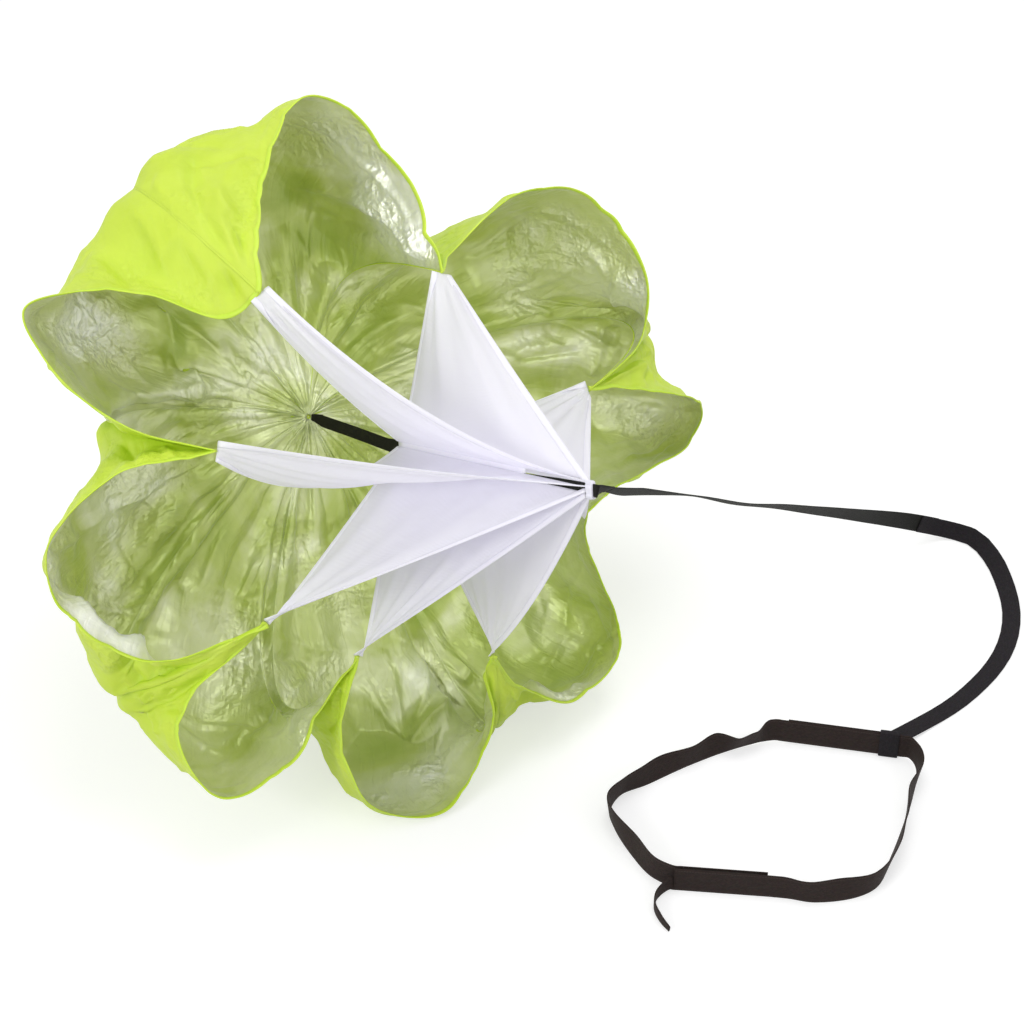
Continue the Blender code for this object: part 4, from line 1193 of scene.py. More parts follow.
    def facets(self, uv: Array, seed: int) -> Array:
        """Return flat facets between straight folds, as packing leaves them.

        The height is the sum of four triangle waves 60 to 130 mm long, each
        turned a random way and bent a little. A slow wave makes them 0.8 to
        2.6 mm high.

        Args:
            uv: Flat coordinates of the gore's points.
            seed: The gore's seed.

        Returns:
            The height of each point.
        """
        rng = np.random.default_rng(seed)
        total = np.zeros(uv.shape[:2])
        turns = rng.uniform(0.0, math.pi) + math.pi / self.facet_waves * np.arange(self.facet_waves)
        for turn in turns:
            along = uv[..., 0] * math.cos(turn) + uv[..., 1] * math.sin(turn)
            aside = uv[..., 1] * math.cos(turn) - uv[..., 0] * math.sin(turn)
            phase = rng.uniform(0.0, math.tau, 3)
            bend = 0.30 * np.sin(aside / rng.uniform(0.035, 0.060) + phase[0])
            place = along / rng.uniform(*self.facet_lengths) + bend + phase[1]
            slow = np.sin(along / 0.04 + phase[2]) * np.sin(aside / 0.05 + phase[0])
            size = (self.facet_height_mm + self.facet_swing_mm * slow) * MM
            total += size * (4.0 * np.abs(place % 1.0 - 0.5) - 1.0)
        return total

    def packed_creases(self, uv: Array, gore: int) -> Array:
        """Return the creases that the photograph shows on a gore.

        A low one is the ridge h exp(-(d/w)^2) about its line. A high one is a
        fold with a sharp back, h exp(-|d|/w). Both bend a little and fade
        towards their ends.

        Args:
            uv: Flat coordinates of the gore's points.
            gore: The gore's number from 0.

        Returns:
            The height of each point.
        """
        rng = np.random.default_rng(Seed.PACKED + gore)
        table = np.array(PACKED_CREASES[gore])
        last = np.array(uv.shape[:2]) - 1
        total = np.zeros(uv.shape[:2])
        for s_low, t_low, s_high, t_high, height, width in table:
            start, end = (uv[tuple(np.rint((t, s) * last).astype(int))]
                          for s, t in ((s_low, t_low), (s_high, t_high)))
            length = max(float(np.linalg.norm(end - start)), 0.010)
            way = (end - start) / length
            delta = uv - (start + end) / 2
            place = delta @ way
            aside = delta @ np.array((way[1], -way[0])) + rng.normal() * 0.10 * place ** 2 / length
            reach = np.abs(aside) / (width * MM)
            profile = np.exp(-reach if abs(height) >= self.sharp_from_mm else -reach ** 2)
            fade = 1.0 - smoothstep(0.35 * length, 0.60 * length, np.abs(place))
            total += height * MM * profile * fade
        return total

    def silver_and_painted_light(self, gore: int) -> Array:
        """Return a gore's painted light and shade, a sum of bells exp(-(d/r)^2).

        Args:
            gore: The gore's number from 0.

        Returns:
            One value for each point, above 0 for painted light and below 0 for painted shade.
        """
        shares, along = self.shares()
        total = np.zeros((self.rows, self.columns))
        for share, place, wide, tall, size in PAINTED_LIGHT_SPOTS[gore]:
            total += size * np.exp(-((shares - share) / wide) ** 2 - ((along - place) / tall) ** 2)
        return total

    def slack(self, shares: Array, along: Array, seed: int) -> Array:
        """Return long soft billows, the sum of four products of two sines.

        Args:
            shares: Shares across the gore.
            along: Shares from the crown to the free edge.
            seed: The gore's seed.

        Returns:
            The height of each point.
        """
        rng = np.random.default_rng(seed)
        total = np.zeros(np.broadcast_shapes(shares.shape, along.shape))
        for _ in range(self.slack_waves):
            number = rng.uniform(1.0, 3.0, 2)
            phase = rng.uniform(0.0, math.tau, 2)
            total = total + (np.sin(math.tau * number[0] * shares + phase[0])
                             * np.sin(math.tau * number[1] * along + phase[1]))
        return self.slack_height * total

    def edge_pull(self, grid: Array, shares: Array, along: Array,
                  gore: int) -> Array:
        """Return how the hem's stitches draw the free edge in, span by span.

        Between random marks the edge bows out as a low arch and at each mark
        it is drawn in by 3 to 8 mm. The pull fades over the gore's last third.

        Args:
            grid: The gore's points.
            shares: Shares across the gore.
            along: Shares from the crown to the free edge.
            gore: The gore's number from 0.

        Returns:
            The move of each point.
        """
        rng = np.random.default_rng(Seed.EDGE + gore)
        inner = self.edge_spans - 1
        marks = np.concatenate(((0.0,), np.sort(rng.uniform(0.06, 0.94, inner)), (1.0,)))
        sizes = np.concatenate(((0.0,), rng.uniform(*self.edge_pull_mm, inner), (0.0,))) * MM
        span = np.clip(np.searchsorted(marks, shares, side="right") - 1, 0, len(marks) - 2)
        wide = marks[span + 1] - marks[span]
        bow = 4.0 * (shares - marks[span]) * (marks[span + 1] - shares) / wide ** 2
        pull = np.interp(shares, marks, sizes) + self.edge_bow * wide * bow
        way = unit(grid[-1] - grid[-8])
        return (pull[None, :] * smoothstep(self.edge_reach, 1.0, along))[..., None] * way[None, :, :]

    def cloth(self, gore: int) -> Array:
        """Return a gore's creased grid, clear of the ground.

        Args:
            gore: The gore's number from 0.

        Returns:
            The points in world metres, row by row.
        """
        grid = self.surface(gore, self.rows, self.columns)
        uv = metric_uv(grid)
        shares, along = self.shares()
        height = self.crown_gathers(shares, along)
        height = height + self.fold_lines(uv, Seed.FOLDS + gore)
        height = height + self.slack(shares, along, Seed.SLACK + gore)
        height = height + self.packed_creases(uv, gore) + self.facets(uv, Seed.FACETS + gore)
        height = height + self.pinch_fans(uv, 0, gore) + self.pinch_fans(uv, -1, gore + 3)
        height = height * edge_fade(shares, self.seam_margin, self.seam_margin)
        height = height * edge_fade(along, self.crown_margin, self.rim_margin)
        grid = grid + grid_normals(grid) * height[..., None]
        world = self.to_world(grid + self.edge_pull(grid, shares[0], along, gore))
        world[..., 2] = np.maximum(world[..., 2], self.ground)
        return world

    def build(self, finishes: Finishes) -> None:
        """Build the gores, their hems and seams and the crown patch.

        Args:
            finishes: The materials.
        """
        for gore in range(self.gores):
            grid = self.cloth(gore)
            name = "canopy_gore_%d" % (gore + 1)
            piece = sheet_object("cloth_" + name, grid, self.thickness, 1)
            # Painted light and painted shade for the coating's colour, one value per point
            layer = piece.data.attributes.new("silver_and_painted_light", "FLOAT", "POINT")
            layer.data.foreach_set("value", self.silver_and_painted_light(gore).astype(np.float32).ravel())
            finish_piece(piece, (finishes.outside, finishes.inside), Body.CANOPY)
            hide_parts(name)
            hem = self.hem(gore, grid)
            finish_piece(hem, (finishes.hem,), Body.CANOPY)
            seam = self.seam(gore, grid)
            finish_piece(seam, (finishes.outside, finishes.inside), Body.CANOPY)
        patch = self.patch()
        finish_piece(patch, (finishes.hem,), Body.CANOPY)
        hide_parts("crown_patch")

    def sewn_on(self, name: str, line: Array, ways: tuple[Array, Array],
                section: tuple[Array, Array], across: Array) -> Object:
        """Return a section carried along a sewn line, clear of the ground.

        Args:
            name: The object's name.
            line: The line's points.
            ways: Directions of the section's width and height at each point.
            section: The section's widths and heights.
            across: V of each point of the section.

        Returns:
            The new object.
        """
        rings = carry_section(line, *ways, *section)
        rings[..., 2] = np.maximum(rings[..., 2], self.hem_ground)
        marks = np.broadcast_to(path_marks(line)[:, None], rings.shape[:2])
        uv = np.stack((marks, np.broadcast_to(across, rings.shape[:2])), axis=2)
        return tube_object(name, rings, uv)

    def hem(self, gore: int, grid: Array) -> Object:
        """Return the hem folded over a gore's free edge.

        Its section is a flattened ring 7 mm wide and 2.4 mm thick that lies on
        both sides of the cloth.

        Args:
            gore: The gore's number from 0.
            grid: The gore's points.

        Returns:
            The new object.
        """
        edge = grid[-1]
        along = unit(np.gradient(edge, axis=0))
        inward = square_to(unit(grid[-3] - edge), along)
        angle = turn_steps(10)
        wide = self.hem_inset + self.hem_half * np.cos(angle)
        section = (wide, self.hem_rise * np.sin(angle))
        ways = (inward, np.cross(inward, along))
        return self.sewn_on("rim_hem_%d" % (gore + 1), edge, ways, section, wide)

    def seam(self, gore: int, grid: Array) -> Object:
        """Return the felled seam at a gore's far side, a thin raised bead.

        Its inner half has the coating's material, which is the second one.

        Args:
            gore: The gore's number from 0.
            grid: The gore's points.

        Returns:
            The new object.
        """
        line = grid[:, -1]
        along = tangents(line)
        normal = square_to(grid_normals(grid)[:, -2], along)
        angle = turn_steps(8)
        section = (self.bead_half * np.cos(angle), self.bead_rise * np.sin(angle))
        ways = (np.cross(along, normal), normal)
        bead = self.sewn_on("gore_seam_%d" % (gore + 1), line, ways, section, angle * MM)
        inner = np.tile(angle >= math.pi, len(line) - 1).astype(np.int32)
        bead.data.polygons.foreach_set("material_index", np.concatenate((inner, (0, 0))))
        return bead

    def patch(self) -> Object:
        """Return the round patch behind the crown, dished like the cloth.

        Rings of radius r lie at depth 1 mm + r/4, with a raised stitched ring
        near the edge.

        Returns:
            The new object.
        """
        radius = np.array(self.patch_radii_mm) * MM
        lift = np.array(self.patch_lifts_mm) * MM
        slope = self.crown_dip / self.crown_spread
        ring = self.bearing(np.degrees(np.linspace(0.0, math.tau, 49)))
        points = (self.crown() + ring[None, :, :] * radius[:, None, None]
                  - UP * (lift + slope * radius)[:, None, None])
        rows, columns, _ = points.shape
        faces = np.array(grid_faces(np.arange(rows * columns).reshape(rows, columns)))
        uv = points[..., :2].reshape(-1, 2)
        return mesh_object("crown_patch_cloth", self.to_world(points).reshape(-1, 3),
                           faces[:, ::-1].tolist(), uv)


# Axis strap


@dataclass
class AxisStrap:
    """The strap on the canopy's axis, its sleeve and the binding at the hub."""

    canopy: Canopy
    tow: "TowLine"
    width: float = 0.025
    thickness: float = 0.0016
    gap: float = 0.0003
    hub: Point = (0.015, -0.021, 0.460)
    inner: Point = (0.036, -0.002, 0.020)
    bearing_deg: float = -12.0
    crown_bearing_deg: float = -22.0
    foot_length: float = 0.018
    foot_rise: float = 0.008
    fold_reach: float = 0.0135
    fold_drop: float = 0.006
    sleeve_wall: float = 0.0008
    sleeve_length: float = 0.300
    binding_wall: float = 0.0015
    binding_length: float = 0.012
    fold_roll: float = 0.0566
    cloth_half: float = 0.0006
    sleeve_gap: float = 0.0004
    sleeve_pucker: float = 0.0004
    binding_pucker: float = 0.0016
    puckers: float = 17.0
    ring_points: int = 64
    rings: int = 24
    steps: int = 260
    width_marks: tuple = (
        (0.0, 0.008), (0.030, 0.008), (0.055, 0.015), (0.250, 0.016), (0.300, 0.025), (0.500, 0.025),
        (0.555, 0.004), (0.600, 0.006), (0.660, 0.011), (0.723, 0.014), (0.787, 0.014),
    )

    def directions(self) -> tuple[Array, Array, Array]:
        """Work out how the strap lies between the sleeve and the hub.

        Returns:
            The strap's direction, its width's and its upper face's.
        """
        along = unit(np.array(self.hub) - np.array(self.inner))
        across = square_to(Canopy.bearing(self.bearing_deg), along)
        return along, across, np.cross(along, across)

    def route(self) -> tuple[Array, Array]:
        """Return the strap's path, from its sewn foot at the crown to the leader.

        The path is a smooth curve through the CAD source's points. The width
        turns evenly from the crown to the sleeve and, past the hub, to the
        leader's own.

        Returns:
            The path and the direction of its width, in the canopy's frame.
        """
        crown = self.canopy.crown()
        inner = np.array(self.inner)
        hub = np.array(self.hub)
        along = self.directions()[0]
        foot_way = Canopy.bearing(self.crown_bearing_deg - 90.0)
        seat = self.cloth_half + self.canopy.crease_depth / 4 + self.thickness
        foot = crown + UP * seat
        rise = unit(inner - crown)
        exit_point, exit_way, exit_across = self.tow.start(self.canopy)
        fold = hub + along * self.fold_reach
        binding = self.binding_length
        path = smooth_path((
            foot + foot_way * self.foot_length,
            foot + foot_way * (self.foot_rise / 2),
            foot + rise * self.foot_rise,
            foot + rise * (3 * self.foot_rise),
            foot + (inner - foot) * 0.5,
            inner - along * binding,
            inner,
            inner + (hub - inner) * 0.3,
            inner + (hub - inner) * 0.7,
            hub - along * binding,
            hub + along * (0.9 * binding),
            hub + along * (1.2 * binding),
            fold + unit(exit_point - hub) * (self.fold_drop / 4),
            hub + along * (self.fold_reach / 2) + (exit_point - hub) * 0.4,
            exit_point - exit_way * self.fold_drop,
            exit_point - exit_way * self.gap,
        ), self.steps)
        reach = (path[:, 2] - crown[2]) / (inner[2] - crown[2] - binding)
        past = np.arange(len(path)) > len(path) // 2
        reach = np.where(past, 1.0, np.clip(reach, 0.0, 1.0))
        degrees = self.crown_bearing_deg + (self.bearing_deg - self.crown_bearing_deg) * reach
        place = np.linspace(0.0, 1.0, len(path))
        end = 1.0 - self.fold_roll / 6
        folded = np.clip((place - end) / self.fold_roll + 1.0, 0.0, 1.0)[:, None]
        wanted = Canopy.bearing(degrees) * (1.0 - folded) + exit_across * folded
        return path, square_to(wanted, tangents(path))

    def sleeve(self, name: str, start: Array, length: float, wall: float,
               pucker: float, inside: float) -> Object:
        """Return a flat sleeve round the strap, puckered where it is gathered.

        Its section is a flattened ring, and the pucker adds a ripple round it.

        Args:
            name: The object's name.
            start: Middle of its first end, in the canopy's frame.
            length: Length along the strap.
            wall: Thickness of its cloth.
            pucker: Height of the ripple.
            inside: Width of what it holds.

        Returns:
            The new object.
        """
        along, across, face = self.directions()
        angle = turn_steps(self.ring_points)
        place = np.linspace(0.0, 1.0, self.rings)[:, None]
        ripple = pucker * (0.5 + 0.5 * np.cos(angle * self.puckers)) * np.sin(math.pi * place) ** 0.3
        side, rise = flat_ring(angle, SLEEVE_POWERS)
        x = side[None, :] * (inside / 2 + self.gap + wall + ripple)
        y = rise[None, :] * (self.thickness / 2 + self.gap + wall + ripple)
        rings = carry_section(start + along * (place * length), across[None, :], face[None, :], x, y)
        uv = np.stack((x, np.broadcast_to(place * length, x.shape)), axis=2)
        return tube_object(name, self.canopy.to_world(rings), uv)

    def build(self, finishes: Finishes) -> None:
        """Build the strap, its sleeve and the gathered binding.

        Args:
            finishes: The materials.
        """
        path, across = self.route()
        basis = self.canopy.basis()
        marks, widths = np.array(self.width_marks).T
        width = np.interp(path_marks(path), marks, widths)
        strap = webbing_object("axis_strap_webbing", self.canopy.to_world(path), across @ basis,
                               width, self.thickness)
        finish_piece(strap, (finishes.black,), Body.CANOPY)
        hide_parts("centre_strap")
        along = self.directions()[0]
        start = np.array(self.inner) + along * self.sleeve_gap
        sleeve = self.sleeve("axis_strap_sleeve", start, self.sleeve_length, self.sleeve_wall,
                             self.sleeve_pucker, self.width)
        finish_piece(sleeve, (finishes.mesh_hem,), Body.CANOPY)
        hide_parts("strap_sleeve")
        start = np.array(self.hub) - along * (self.binding_length / 2)
        binding = self.sleeve("hub_gathered_binding", start, self.binding_length,
                              self.binding_wall, self.binding_pucker, self.width_marks[-1][1])
        finish_piece(binding, (finishes.tape,), Body.CANOPY)
        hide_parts("hub_binding")


# Mesh fins


@dataclass
class Fins:
    """The eight mesh fins between the canopy's free edge and the strap."""

    canopy: Canopy
    strap: AxisStrap
    thickness: float = 0.0006
    cad_thickness: float = 0.0008
    rim_widths: tuple = (0.028, 0.024, 0.010, 0.012, 0.010, 0.016, 0.024, 0.026)
    rim_inset: float = 0.003
    billow: float = 0.010
    sag: float = 0.050
    hem_width: float = 0.008
    places: tuple = (0.36, 0.12, -0.12, -0.36, -0.36, -0.12, 0.12, 0.36)
    sags: tuple = ((0.80, 0.20), (0.10, 1.00), (0.06, 0.06), (0.06, 0.06),
                   (0.50, 0.20), (0.20, 0.20), (0.10, 0.10), (0.06, 0.06))
    rows: int = 60
    columns: int = 110
    pleats: int = 4
    pleat_heights_mm: Span = (1.2, 3.0)
    pleat_widths: Span = (0.05, 0.11)
    ripples: int = 5
    ripple_height: float = 0.0009
    rim_margin: float = 0.15
    margin: float = 0.10
    hem_inset: float = 0.0004
    hem_rise: float = 0.0008
    hem_share: float = 0.45

    def surface(self, index: int) -> Array:
        """Return a fin's grid.

        It is the bilinear surface between a short edge on the canopy's rim and
        a long edge on the strap. Its sides sag as 4t(1-t) and its middle
        billows as a product of two sines.

        Args:
            index: The fin's number from 0.

        Returns:
            The points in the canopy's frame, row by row.
        """
        along, across, face = self.strap.directions()
        side = 1.0 if index < self.canopy.gores // 2 else -1.0
        sleeve = 2 * self.strap.gap + self.strap.sleeve_wall
        height = self.strap.thickness / 2 + sleeve + self.cad_thickness
        seat = across * (self.strap.width * self.places[index]) + face * (side * height)
        below = self.strap.binding_length / 2 + self.strap.sleeve_gap
        hub = np.array(self.strap.hub) - along * below + seat
        inner = np.array(self.strap.inner) + seat
        pinch = self.canopy.pinch(index)
        inward = unit(pinch) * (self.strap.cloth_half + self.cad_thickness / 2 + self.strap.gap)
        rim = pinch - inward - UP * self.rim_inset
        sideways = Canopy.bearing(self.canopy.pinch_bearings[index] + 90.0)
        row = np.linspace(0.0, 1.0, self.rows)[:, None, None]
        column = np.linspace(0.0, 1.0, self.columns)[None, :, None]
        outer = rim + sideways * (self.rim_widths[index] / 2) * (2 * row - 1)
        line = hub + (inner - hub) * row
        grid = outer + (line - outer) * column
        hub_sag, inner_sag = self.sags[index]
        sag = self.sag * (hub_sag + (inner_sag - hub_sag) * row) * 4 * column * (1 - column)
        down = -self.canopy.basis()[:, 2]
        billow = self.billow * np.sin(math.pi * row) * np.sin(math.pi * column)
        return grid + down * sag + sideways * billow

    def folds(self, seed: int) -> Array:
        """Return soft pleats that run from the rim's corner to the strap.

        The height is four ridges exp(-(d/w)^2) and a ripple, both faded
        towards the fin's edges.

        Args:
            seed: The fin's seed.

        Returns:
            The height of each point.
        """
        rng = np.random.default_rng(seed)
        row = np.linspace(0.0, 1.0, self.rows)[:, None]
        column = np.linspace(0.0, 1.0, self.columns)[None, :]
        total = np.zeros((self.rows, self.columns))
        for _ in range(self.pleats):
            middle = rng.uniform(0.15, 0.85)
            wide = rng.uniform(*self.pleat_widths)
            total += rng.uniform(*self.pleat_heights_mm) * MM * np.exp(-((row - middle) / wide) ** 2)
        wave = np.sin(math.tau * self.ripples * row + 1.5 * np.sin(3 * column))
        fade = edge_fade(column, self.rim_margin, self.margin) * edge_fade(row, self.margin, self.margin)
        return (total + self.ripple_height * wave) * fade

    def hem(self, name: str, edge: Array, within: Array, widest: Array) -> Object:
        """Return a turned hem along a fin's free edge, a flattened ring.

        Args:
            name: The object's name.
            edge: Points of the free edge.
            within: Points beside them on the cloth.
            widest: The hem's width where the fin narrows.

        Returns:
            The new object.
        """
        along = tangents(edge)
        inward = square_to(within - edge, along)
        angle = turn_steps(10)
        half = np.minimum(self.hem_width, widest)[:, None] / 2
        wide = half * (1 + np.cos(angle)) - self.hem_inset
        rings = carry_section(edge, inward, np.cross(inward, along), wide,
                              self.hem_rise * np.sin(angle))
        marks = np.broadcast_to(path_marks(edge)[:, None], rings.shape[:2])
        uv = np.stack((wide, marks), axis=2)
        return tube_object(name, rings, uv)

    def build(self, finishes: Finishes) -> None:
        """Build each fin and its two hems.

        Args:
            finishes: The materials.
        """
        for index in range(self.canopy.gores):
            number = index + 1
            grid = self.surface(index)
            height = self.folds(Seed.FIN_PLEATS + index)
            grid = self.canopy.to_world(grid + grid_normals(grid) * height[..., None])
            piece = sheet_object("fin_mesh_%d" % number, grid, self.thickness)
            finish_piece(piece, (finishes.mesh,), Body.CANOPY)
            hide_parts("mesh_fin_%d" % number)
            widest = self.hem_share * np.linalg.norm(grid[-1] - grid[0], axis=1)
            outer = self.hem("fin_outer_hem_%d" % number, grid[0], grid[3], widest)
            inner = self.hem("fin_inner_hem_%d" % number, grid[-1], grid[-4], widest)
            for hem in (outer, inner):
                finish_piece(hem, (finishes.mesh_hem,), Body.CANOPY)


# Tow line


@dataclass
class TowLine:
    """The leader and the tow strap, which lie along one route."""

    width: float = 0.025
    thickness: float = 0.0016
    loose_gap: float = 0.0004
    gap: float = 0.0003
    segments: int = 72
    splice_share: float = 0.66
    splice_length: float = 0.040
    hub_width: float = 0.011
    gather_reach: float = 0.10
    leader_steps: int = 150
    tow_steps: int = 110

    # Route repeated from the CAD source: x, y, z and roll in degrees. The rolls at
    # its first three points are the photograph's, where the strap leaves the hub
    # nearly on its edge
    route: tuple = (
        (0.1237, -0.3374, 0.658, 38), (0.1417, -0.2944, 0.620, 36), (0.1627, -0.2474, 0.580, 33),
        (0.1987, -0.1854, 0.526, 24), (0.2407, -0.1224, 0.470, 16), (0.2977, -0.0374, 0.388, 22),
        (0.3567, 0.0516, 0.310, 32), (0.4067, 0.1186, 0.248, 42), (0.4537, 0.1816, 0.190, 52),
        (0.4967, 0.2326, 0.142, 64), (0.5307, 0.2716, 0.105, 74), (0.5657, 0.3096, 0.068, 86),
        (0.5927, 0.3346, 0.042, 96), (0.6167, 0.3496, 0.024, 106), (0.6417, 0.3546, 0.0125, 116),
        (0.6717, 0.3396, 0.0115, 128), (0.6927, 0.3006, 0.0085, 145), (0.7027, 0.2546, 0.0050, 160),
        (0.7057, 0.2046, 0.0018, 176), (0.6987, 0.1596, 0.0012, 180), (0.6837, 0.1176, 0.0012, 180),
        (0.6617, 0.0796, 0.0012, 180), (0.6347, 0.0456, 0.0012, 180), (0.6067, 0.0166, 0.0012, 180),
        (0.5787, -0.0064, 0.0012, 180), (0.5527, -0.0264, 0.0030, 180), (0.5317, -0.0427, 0.0050, 180),
        (0.5102, -0.0570, 0.0050, 180), (0.5052, -0.0603, 0.0050, 180),
    )

    def path(self) -> tuple[Array, Array]:
        """Return the whole route of the webbing.

        Its width lies level at a roll of 0 and turns about the route with it.

        Returns:
            The route and the direction of the webbing's width.
        """
        path = smooth_path(self.route, self.segments + 1)
        direction = tangents(path)
        flat = unit(np.stack((direction[:, 1], -direction[:, 0], np.zeros(len(path))), axis=1))
        steep = np.cross(flat, direction)
        roll = np.radians(path[:, 3])[:, None]
        return path, flat * np.cos(roll) + steep * np.sin(roll)

    def start(self, canopy: Canopy) -> tuple[Array, Array, Array]:
        """Return how the leader starts, for the strap that it grows from.

        Args:
            canopy: The canopy, for its frame.

        Returns:
            The leader's start, way and width direction in the canopy's frame.
        """
        path, across = self.path()
        basis = canopy.basis()
        return canopy.to_canopy(path[0, :3]), basis @ tangents(path)[0], basis @ across[0]

    def build(self, finishes: Finishes) -> None:
        """Build the leader and the tow strap sewn to its end.

        Args:
            finishes: The materials.
        """
        path, across = self.path()
        marks = path_marks(path)
        full = np.hstack((path, across))
        splice = marks[-1] * self.splice_share
        leader = rows_at(full, marks, np.linspace(self.gap, splice, self.leader_steps))
        width = np.interp(path_marks(leader), (0.0, self.gather_reach), (self.hub_width, self.width))
        piece = webbing_object("leader_webbing", leader, leader[:, 4:7], width, self.thickness)
        finish_piece(piece, (finishes.black,), Body.CANOPY)
        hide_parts("leader_strap")
        wanted = np.linspace(splice - self.splice_length, marks[-1], self.tow_steps)
        tow = rows_at(full, marks, wanted)
        under = np.cross(tangents(tow), tow[:, 4:7])
        past = np.clip((wanted - splice) / self.splice_length, 0.0, 1.0)
        tow[:, :3] += under * ((self.thickness + self.loose_gap) * (1 - past))[:, None]
        strap = webbing_object("tow_webbing", tow, tow[:, 4:7], self.width, self.thickness)
        finish_piece(strap, (finishes.plum,), Body.CANOPY)
        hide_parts("tow_strap")


# Waist belt


@dataclass
class WaistBelt:
    """The belt's band, doubler, tapes and tail, and the tow loop round it."""

    centre: Span = (0.3417, -0.1904)
    span: float = 0.400
    width: float = 0.038
    thickness: float = 0.0020
    gap: float = 0.0003
    loose_gap: float = 0.0004
    strap_width: float = 0.025
    strap_thickness: float = 0.0016
    inset: float = 0.008
    loop_inset: float = 0.0265
    neck_length: float = 0.036
    tape_thickness: float = 0.0010
    tape_width: float = 0.034
    tape_inset: float = 0.011
    doubler_end_share: float = 0.75
    lift_run: float = 0.060
    segments: int = 84
    doubler_steps: int = 80
    end_steps: int = 60
    back_shares: tuple = ((0.0500, 0.3425), (0.4750, 0.2625))
    overlap_shares: tuple = ((-0.3075, -0.2925), (-0.0250, -0.3200))
    left_shares: tuple = (
        (-0.3725, -0.2450), (-0.4300, -0.1575), (-0.4800, -0.0425), (-0.4925, 0.0300),
        (-0.4575, 0.1000), (-0.3700, 0.1475), (-0.2325, 0.2325), (-0.0750, 0.3100),
    )
    right_shares: tuple = (
        (0.4950, 0.2175), (0.4750, 0.1125), (0.4400, 0.0000), (0.3725, -0.1675),
        (0.3175, -0.2875), (0.2425, -0.3325), (0.1175, -0.3500), (0.0425, -0.3350),
    )
    tail_shares: tuple = ((-0.3600, -0.3375), (-0.3687, -0.3800), (-0.3525, -0.4300),
                          (-0.3275, -0.4675))
    tail_width_shares: tuple = (0.60, 0.50, 0.45, 0.42, 0.25)

    # Share of the band's length and lean in degrees, upright in the overlap and at
    # the doubled back
    lean_marks: tuple = (
        (0.0, 0), (0.11, 0), (0.15, -6), (0.21, 8), (0.25, -10), (0.30, 6), (0.34, -6), (0.37, 4),
        (0.395, -26), (0.415, -22), (0.435, 0), (0.59, 0), (0.62, 10), (0.66, -6), (0.70, 8),
        (0.74, 16), (0.79, 6), (0.83, -4), (0.87, 4), (0.89, 0), (1.0, 0),
    )

    def plan(self, shares: Sequence) -> Array:
        """Return points on the ground.

        Args:
            shares: X and Y of each point, as shares of the belt's span.

        Returns:
            The points in world metres.
        """
        flat = np.array(self.centre) + self.span * np.array(shares)
        return np.hstack((flat, np.zeros((len(flat), 1))))

    @staticmethod
    def line(ends: Array) -> tuple[Array, Array, Array, Array]:
        """Return a line's ends, its direction and the side to its left."""
        along = unit(ends[1] - ends[0])
        return ends[0], ends[1], along, np.array((-along[1], along[0], 0.0))

    def lift(self) -> float:
        """Return how far the tow loop under the belt holds its back up."""
        return self.gap + self.strap_thickness + self.loose_gap

    def layer(self) -> float:
        """Return how far each belt layer lies from the overlap's middle."""
        return self.tape_thickness + self.gap * 1.5 + self.thickness / 2

    def band_path(self) -> Array:
        """Return the band's bottom line, once round the waist.

        The tow loop lifts the doubled back. The lift fades as a cosine.

        Returns:
            The line's points, from one end of the overlap to the other.
        """
        left, right, along, _ = self.line(self.plan(self.back_shares))
        low, high, lap, inward = self.line(self.plan(self.overlap_shares))
        shift = inward * self.layer()
        inset = along * self.inset
        ease = lap * self.inset
        knots = np.vstack((
            high + shift, low + ease + shift, low + shift, self.plan(self.left_shares),
            left, left + inset, right - inset, right, self.plan(self.right_shares),
            high - shift, high - ease - shift, low - shift,
        ))
        path = smooth_path(knots, self.segments * 4 + 1)
        place = (path - left) @ along
        away = np.maximum(np.maximum(-place, place - np.linalg.norm(right - left)), 0.0)
        aside = np.abs(np.cross(path - left, along)[:, 2])
        away = np.hypot(away, np.where(aside < self.width, aside, self.lift_run))
        rise = 0.5 + 0.5 * np.cos(math.pi * np.clip(away / self.lift_run, 0.0, 1.0))
        path[:, 2] = self.lift() * rise
        return path

    def stand(self, name: str, path: Array, width: Array | float, thickness: float,
              lean: Array | float = 0.0) -> Object:
        """Return webbing that stands on its edge along a line.

        Args:
            name: The object's name.
            path: Its bottom line.
            width: Width, one number or one for each point.
            thickness: Thickness.
            lean: Angle away from upright towards the line's left side.

        Returns:
            The new object.
        """
        lean = np.broadcast_to(lean, (len(path),))[:, None]
        side = square_to(np.cross(UP, tangents(path)), UP)
        across = UP * np.cos(lean) + side * np.sin(lean)
        half = np.broadcast_to(width, (len(path),))[:, None] / 2
        centre = path + across * half + UP * np.abs(np.sin(lean)) * thickness / 2
        return webbing_object(name, centre, across, width, thickness)

    def build(self, finishes: Finishes) -> None:
        """Build the belt's pieces and the tow loop.

        Args:
            finishes: The materials.
        """
        path = self.band_path()
        marks, degrees = np.array(self.lean_marks).T
        lean = np.radians(smooth_table(marks, degrees, path_marks(path) / path_marks(path)[-1]))
        band = self.stand("belt_band_webbing", path, self.width, self.thickness, lean)
        finish_piece(band, (finishes.brown,), Body.BELT)
        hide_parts("belt_band")
        left, right, along, outward = self.line(self.plan(self.back_shares))
        inset = along * (2 * self.inset)
        shift = outward * (self.thickness + self.gap) + UP * self.lift()
        ends = np.stack((left + inset + shift, right - inset * self.doubler_end_share + shift))
        doubler = self.stand("belt_doubler_webbing", even_steps(ends, self.doubler_steps),
                             self.width, self.thickness)
        finish_piece(doubler, (finishes.brown,), Body.BELT)
        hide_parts("belt_doubler")
        self.build_tapes(finishes)
        self.build_tail(finishes)
        self.build_loop(finishes)

